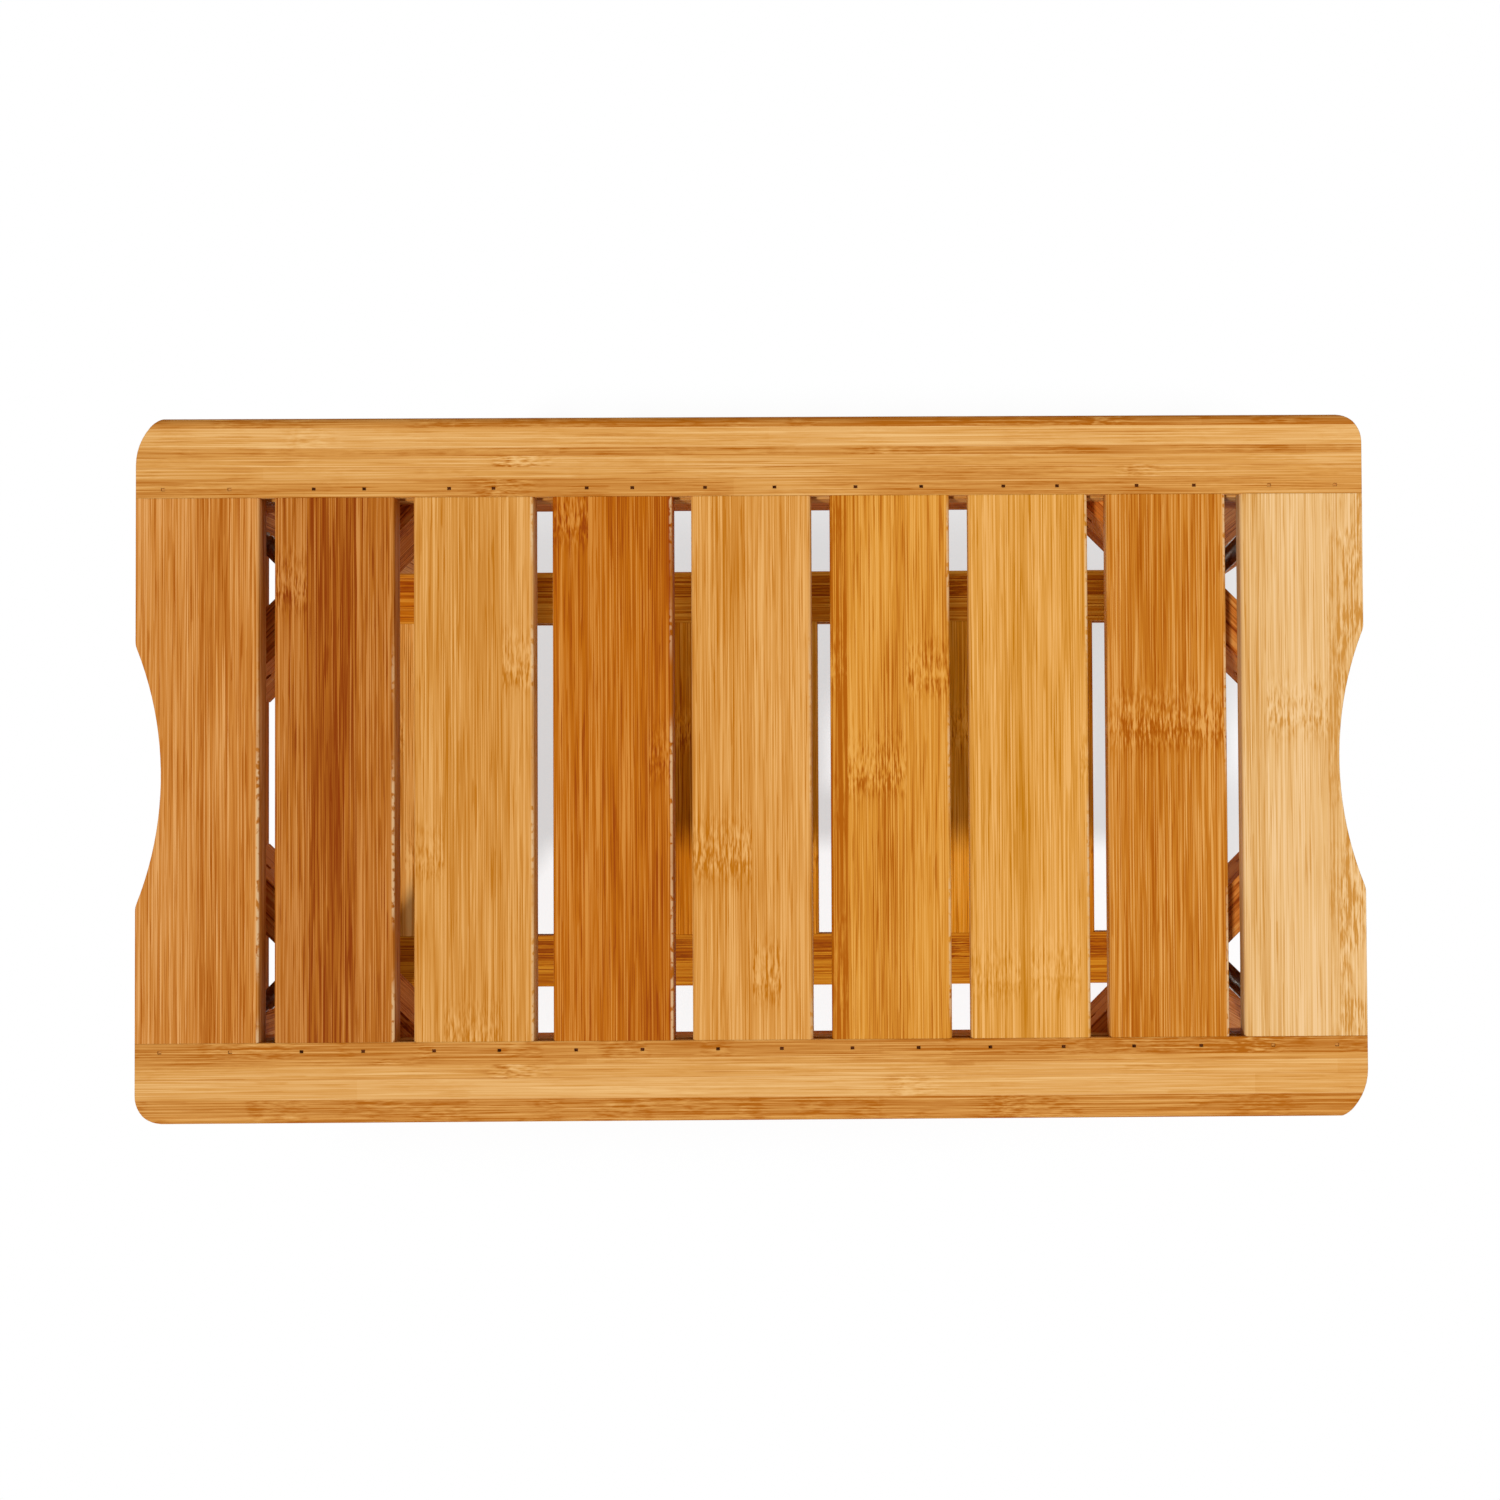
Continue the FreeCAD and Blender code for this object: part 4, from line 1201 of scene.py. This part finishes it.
@dataclass(frozen=True)
class FlatWasher:
    """A pressed washer; it lies along -Z from zero.

    Attributes:
        outer: Its diameter.
        bore: Diameter of its hole.
        easing: How much its edges are eased.
        steps: Steps round it.
    """

    outer: float = 20 * MM
    bore: float = 8.4 * MM
    easing: float = 0.3 * MM
    steps: int = 40

    def mesh(self, height: float) -> bpy.types.Mesh:
        """Makes the washer.

        Args:
            height: Its thickness.

        Returns:
            Its mesh.
        """
        body = bmesh.new()
        outer, bore = self.outer / 2, self.bore / 2
        turned(body, [(bore, -height), (bore, 0), (outer, 0), (outer, -height), (bore, -height)],
               self.steps)
        ease(body, [edge for edge in body.edges if edge.calc_face_angle(0) > 1], self.easing, 2)
        return finished(body, "washer")


@dataclass(frozen=True)
class RubberPad:
    """A moulded foot pad with a rim round a shallow cup on its underside.

    Attributes:
        corner: Radius of its upright corners.
        easing: How much its edges are eased.
        rim: Width of the rim on its underside.
        slope: How far the cup's walls lean in.
        cup: Depth of the cup.
    """

    corner: float = 3 * MM
    easing: float = 0.6 * MM
    rim: float = 2 * MM
    slope: float = 0.3 * MM
    cup: float = 0.8 * MM

    def mesh(self, low: Vector, high: Vector) -> bpy.types.Mesh:
        """Makes the pad.

        Args:
            low: Its lowest corner.
            high: Its highest corner.

        Returns:
            Its mesh.
        """
        body = bmesh.new()
        bmesh.ops.create_cube(body, size=1.0)
        bmesh.ops.scale(body, vec=high - low, verts=body.verts)
        bmesh.ops.translate(body, vec=(low + high) / 2, verts=body.verts)
        ease(body, [edge for edge in body.edges
                    if abs(edge.verts[0].co.z - edge.verts[1].co.z) > MM], self.corner, 6)
        flat = [face for face in body.faces if abs(face.normal.z) > 0.9]
        ease(body, list({edge for face in flat for edge in face.edges}), self.easing, 3)
        under = min(body.faces, key=lambda face: face.calc_center_median().z)
        for thickness, depth in ((self.rim, 0.0), (self.slope, -self.cup)):
            bmesh.ops.inset_individual(body, faces=[under], thickness=thickness, depth=depth,
                                       use_even_offset=True)
        return finished(body, "rubber_pad")


@dataclass(frozen=True)
class Fitting:
    """One kind of fixing and where it goes.

    Attributes:
        name: Name of the new piece.
        node: The CAD node that it replaces.
        shape: Makes its mesh from its length.
        driven: Which way it points.
        finish: Its finish.
    """

    name: str
    node: str
    shape: WoodScrew | HangerBolt | HexNut | FlatWasher
    driven: Driven
    finish: SteelFinish


def new_material(name: str) -> tuple[bpy.types.Material, Graph, bpy.types.Node]:
    """Starts a material.

    Args:
        name: Its name.

    Returns:
        The material, its graph and its shader.
    """
    material = bpy.data.materials.new(name)
    material.use_nodes = True
    return material, Graph(material.node_tree), material.node_tree.nodes["Principled BSDF"]


def paint(node: str, material: bpy.types.Material) -> None:
    """Gives a CAD node a material in place of its own.

    Args:
        node: The node's name.
        material: The material.
    """
    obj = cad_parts[node]
    obj.data.materials.clear()
    obj.data.materials.append(material)
    LOG.info("dressed %s in %s", node, material.name)


def finished(body: bmesh.types.BMesh, name: str) -> bpy.types.Mesh:
    """Turns a body's faces outwards and makes it a mesh.

    Args:
        body: The body, freed here.
        name: The mesh's name.

    Returns:
        The mesh.
    """
    bmesh.ops.recalc_face_normals(body, faces=body.faces)
    mesh = bpy.data.meshes.new(name)
    body.to_mesh(mesh)
    body.free()
    return mesh


def linked(name: str, data: bpy.types.ID) -> bpy.types.Object:
    """Makes an object and puts it in the scene.

    Args:
        name: Its name.
        data: Its mesh, light or camera.

    Returns:
        The object.
    """
    obj = bpy.data.objects.new(name, data)
    bpy.context.collection.objects.link(obj)
    return obj


def stand_in(name: str, pattern: bpy.types.Mesh, places: list[Matrix], node: str,
             material: bpy.types.Material) -> None:
    """Puts copies of a pattern in the place of a CAD node.

    Args:
        name: Name of the new piece.
        pattern: The mesh to copy, removed here.
        places: Where its copies go.
        node: The node that it replaces.
        material: Its material.
    """
    body = bmesh.new()
    for place in places:
        before = len(body.verts)
        body.from_mesh(pattern)
        body.verts.ensure_lookup_table()
        bmesh.ops.transform(body, matrix=place, verts=body.verts[before:])
    mesh = bpy.data.meshes.new(name)
    body.to_mesh(mesh)
    body.free()
    bpy.data.meshes.remove(pattern)
    mesh.materials.append(material)
    mesh.shade_smooth()
    mesh.set_sharp_from_angle(angle=SMOOTH_BELOW)
    obj = linked(name, mesh)
    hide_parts(node)
    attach(obj, "root")
    LOG.info("made %s: %d copies, %d faces", name, len(places), len(mesh.polygons))


@dataclass(frozen=True)
class Seat:
    """The seat: two grooved rails, two scooped end boards and seven slats.

    Attributes:
        shop: Where its finishes are made.
        boards: Finishes of the boards between the rails, from left to right.
        back_rail: The back rail's finish.
        front_rail: The front rail's finish.
    """

    shop: BambooShop
    boards: tuple[BambooFinish, ...] = SEAT_FINISHES
    back_rail: BambooFinish = BACK_RAIL_FINISH
    front_rail: BambooFinish = FRONT_RAIL_FINISH

    def dress(self) -> None:
        """Finishes the rails and the boards between them."""
        slats = (f"seat_slat_{number}" for number in range(1, len(self.boards) - 1))
        for name, finish in zip(("end_board_left", *slats, "end_board_right"), self.boards):
            self.shop.dress(Board(name, Grain.LYING_Y), finish)
        self.shop.dress(Board("seat_rail_back", Grain.LYING_X), self.back_rail)
        self.shop.dress(Board("seat_rail_front", Grain.LYING_X), self.front_rail)


@dataclass(frozen=True)
class UnderFrame:
    """The aprons, the corner braces and the legs.

    Attributes:
        shop: Where its finishes are made.
        colours: The colours of its boards.
        strips: The strips of its boards.
        first_seed: The first board's seed.
        seed_step: How far apart the boards' seeds are.
    """

    shop: BambooShop
    colours: tuple[Rgba, Rgba, Rgba] = FRAME_COLOURS
    strips: tuple[Strip, ...] = FRAME_STRIPS
    first_seed: float = 20.7
    seed_step: float = 1.9

    def boards(self) -> list[Board]:
        """Lists its boards.

        Returns:
            The boards, in the order of their seeds.
        """
        boards = [Board(f"long_apron_{side}", Grain.STANDING_X) for side in ("back", "front")]
        boards += [Board(f"short_apron_{side}", Grain.STANDING_Y) for side in ("left", "right")]
        boards += [Board(f"leg_{corner}", Grain.UPRIGHT) for corner in CORNERS]
        for corner, (x, y) in CORNERS.items():
            grain = Grain.DIAGONAL_FALLING if x == y else Grain.DIAGONAL_RISING
            boards.append(Board(f"corner_brace_{corner}", grain))
        return boards

    def dress(self) -> None:
        """Finishes its boards, each with fibres of its own."""
        for number, board in enumerate(self.boards()):
            self.shop.dress(board, BambooFinish(f"bamboo_{board.node}", *self.colours, self.strips,
                                                seed=self.first_seed + self.seed_step * number))


@dataclass(frozen=True)
class Shelf:
    """The shelf: two grooved rails, two end boards and seven slats.

    Attributes:
        shop: Where its finishes are made.
        slats: Number of slats.
        first_seed: The first board's seed.
        seed_step: How far apart the boards' seeds are.
    """

    shop: BambooShop
    slats: int = 7
    first_seed: float = 50.3
    seed_step: float = 2.3

    def dress(self) -> None:
        """Finishes its rails and boards."""
        rails = [(f"shelf_rail_{side}", colours)
                 for side, colours in zip(("back", "front"), SHELF_RAIL_COLOURS)]
        boards = [(f"shelf_end_board_{side}", SHELF_END_COLOURS) for side in ("left", "right")]
        boards += [(f"shelf_slat_{number + 1}", SHELF_COLOURS[number % len(SHELF_COLOURS)])
                   for number in range(self.slats)]
        for number, (node, colours) in enumerate(rails + boards):
            rail = number < len(rails)
            strips = SHELF_RAIL_STRIPS_AND_SHADE if rail else SHELF_BOARD_STRIPS
            finish = BambooFinish(f"bamboo_{node}", *colours, strips,
                                  seed=self.first_seed + self.seed_step * number)
            self.shop.dress(Board(node, Grain.LYING_X if rail else Grain.LYING_Y), finish)


@dataclass(frozen=True)
class Feet:
    """The four rubber pads under the legs.

    Attributes:
        pad: The shape of a pad.
        finish: Its finish.
    """

    pad: RubberPad = RubberPad()
    finish: RubberFinish = RubberFinish()

    def build(self) -> None:
        """Makes the pads."""
        material = self.finish.material()
        for corner in CORNERS:
            low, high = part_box(f"foot_pad_{corner}")
            stand_in(f"rubber_pad_{corner}", self.pad.mesh(low, high), [Matrix()],
                     f"foot_pad_{corner}", material)


@dataclass(frozen=True)
class Hardware:
    """The hanger bolts, nuts, washers, screws and brads.

    Attributes:
        fittings: The kinds of fixings; the brace screws' heads are no wider than their shanks.
        brads: The brads' finish.
    """

    fittings: tuple[Fitting, ...] = (
        Fitting("hanger_bolt_threads", "hanger_bolts", HangerBolt(), Driven.TO_CORNER,
                BRIGHT_STEEL),
        Fitting("hex_nuts", "hanger_bolt_nuts", HexNut(), Driven.TO_CORNER, BRIGHT_STEEL),
        Fitting("pressed_washers", "hanger_bolt_washers", FlatWasher(), Driven.TO_CORNER,
                BRIGHT_STEEL),
        Fitting("brace_screws_threaded", "brace_screws",
                WoodScrew(3.6 * MM, 2.4 * MM, 3.6 * MM, 1.6 * MM), Driven.TO_CORNER, DULL_STEEL),
        Fitting("seat_screws_threaded", "seat_screws", WoodScrew(), Driven.UP, DULL_STEEL),
        Fitting("shelf_screws_threaded", "shelf_screws", WoodScrew(), Driven.TO_MIDDLE, DULL_STEEL),
    )
    brads: BradFinish = BradFinish()

    def build(self) -> None:
        """Makes the fixings, one in the place of each solid of a node, and dresses the brads."""
        steels = {finish: finish.material() for finish in (BRIGHT_STEEL, DULL_STEEL)}
        paint("brad_nails", self.brads.material())
        for fitting in self.fittings:
            fixings = [Fixing.measured(points, fitting.driven.direction(points))
                       for points in solids(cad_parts[fitting.node])]
            stand_in(fitting.name, fitting.shape.mesh(fixings[0].length),
                     [fixing.matrix() for fixing in fixings], fitting.node,
                     steels[fitting.finish])


@dataclass(frozen=True)
class PhotoCamera:
    """The camera that took the photograph, from straight above.

    Attributes:
        place: Where it is.
        turn: How it is turned from straight down, in degrees.
        lens: Its focal length in millimetres.
        sensor: Its sensor's width in millimetres.
        shift: How far the picture's middle lies from the lens's axis, as a share of its width.
        clip: The nearest and the furthest that it sees.
    """

    place: Triple = (0.05414, -0.01737, 1.25759)
    turn: Triple = (1.1686, -0.5092, -0.34)
    lens: float = 46.456
    sensor: float = 36.0
    shift: tuple[float, float] = (-0.1001, 0.0125)
    clip: tuple[float, float] = (0.01, 20.0)

    def build(self) -> None:
        """Sets up the scene's camera."""
        data = bpy.data.cameras.new("photo_camera")
        data.sensor_fit, data.sensor_width, data.lens = "HORIZONTAL", self.sensor, self.lens
        data.shift_x, data.shift_y = self.shift
        data.clip_start, data.clip_end = self.clip
        camera = linked("photo_camera", data)
        camera.location = self.place
        camera.rotation_euler = [math.radians(angle) for angle in self.turn]
        bpy.context.scene.camera = camera


@dataclass(frozen=True)
class Studio:
    """The pale floor, the lights and the white surroundings.

    Attributes:
        key_towards: The direction from the bench to the key light at the front left.
        key_strength: Its strength.
        key_angle: How wide it looks, in degrees.
        key_colour: Its colour.
        fill_place: Where the soft light at the right is.
        fill_aim: What it points at.
        fill_size: Its width and height.
        fill_power: Its power.
        sky_strength: Strength of the light from all round.
        floor_size: Half the floor's width.
        floor_colour: The floor's colour.
        floor_roughness: The floor's roughness.
        footprint: Half sizes of the floor under the bench.
        fade: How far beyond them the floor turns white for the camera.
        lift: How much paler the floor under the bench is for the camera.
    """

    key_towards: Triple = (-0.257, -0.412, 0.875)
    key_strength: float = 2.0
    key_angle: float = 5.0
    key_colour: Triple = (1.0, 0.985, 0.96)
    fill_place: Triple = (1.7, 0.5, 1.6)
    fill_aim: Triple = (0, 0, 0.4)
    fill_size: tuple[float, float] = (1.6, 1.2)
    fill_power: float = 8.0
    sky_strength: float = 0.35
    floor_size: float = 4.0
    floor_colour: Rgba = (0.46, 0.465, 0.48, 1)
    floor_roughness: float = 0.8
    footprint: tuple[float, float] = (0.25, 0.145)
    fade: float = 0.12
    lift: float = 0.52

    def build(self) -> None:
        """Builds the studio."""
        self.lay_floor()
        self.hang_lights()
        self.surround()
        bpy.context.scene.view_settings.view_transform = "Standard"
        LOG.info("built the studio")

    def seen(self, g: Graph) -> Socket:
        """Finds the rays that show the surroundings: the camera's, mirrored and passed ones.

        Args:
            g: The graph to read them in.

        Returns:
            1 for these rays and 0 for the others.
        """
        path = g.add("ShaderNodeLightPath").outputs
        mirrored = g.math("ADD", path["Is Glossy Ray"], path["Is Transmission Ray"])
        return g.math("ADD", path["Is Camera Ray"], mirrored, clamp=True)

    def lay_floor(self) -> None:
        """Lays a pale floor that turns pure white for the camera away from the bench."""
        body = bmesh.new()
        bmesh.ops.create_grid(body, x_segments=2, y_segments=2, size=self.floor_size)
        mesh = finished(body, "studio_floor")
        material, g, shader = new_material("studio_floor")
        shader.inputs["Base Color"].default_value = self.floor_colour
        shader.inputs["Roughness"].default_value = self.floor_roughness
        beyond = [g.math("MAXIMUM", g.math("SUBTRACT", g.math("ABSOLUTE", place), half), 0.0)
                  for place, half in zip(g.split(g.place()), self.footprint)]
        away = g.math("SQRT", g.math("ADD", *(g.math("POWER", value, 2.0) for value in beyond)))
        seen = self.seen(g)
        lifted = g.wired("ShaderNodeAddShader", shader.outputs[0],
                         self.glow(g, g.product(seen, self.lift)))
        blend = g.wired("ShaderNodeMixShader", g.product(g.smooth(away, 0.0, self.fade), seen),
                        lifted, self.glow(g, 1.0))
        g.feed(material.node_tree.nodes["Material Output"].inputs["Surface"], blend)
        mesh.materials.append(material)
        floor = linked("studio_floor", mesh)

    def glow(self, g: Graph, strength: Feed) -> Socket:
        """Returns a white glow."""
        return g.wired("ShaderNodeEmission", WHITE, strength)

    def hang_lights(self) -> None:
        """Hangs the key light and the soft light."""
        key = bpy.data.lights.new("key", "SUN")
        key.energy, key.angle = self.key_strength, math.radians(self.key_angle)
        key.color = self.key_colour
        sun = linked("key", key)
        sun.rotation_euler = Vector(self.key_towards).to_track_quat("Z", "Y").to_euler()
        fill = bpy.data.lights.new("fill", "AREA")
        fill.shape, fill.energy = "RECTANGLE", self.fill_power
        fill.size, fill.size_y = self.fill_size
        lamp = linked("fill", fill)
        lamp.location = self.fill_place
        aim = Vector(self.fill_aim) - lamp.location
        lamp.rotation_euler = aim.to_track_quat("-Z", "Y").to_euler()

    def surround(self) -> None:
        """Lights the scene with a pale sky that shows pure white."""
        world = bpy.data.worlds.new("studio")
        bpy.context.scene.world = world
        world.use_nodes = True
        g = Graph(world.node_tree)
        background = world.node_tree.nodes["Background"]
        background.inputs["Color"].default_value = WHITE
        strength = g.math("MULTIPLY_ADD", self.seen(g), 1.0 - self.sky_strength, self.sky_strength)
        g.feed(background.inputs["Strength"], strength)


def main() -> None:
    """Dresses the bench and builds the studio."""
    logging.basicConfig(level=logging.INFO)
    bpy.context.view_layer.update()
    shop = BambooShop()
    Seat(shop).dress()
    UnderFrame(shop).dress()
    Shelf(shop).dress()
    Feet().build()
    Hardware().build()
    PhotoCamera().build()
    Studio().build()


if __name__ == "__main__":
    main()
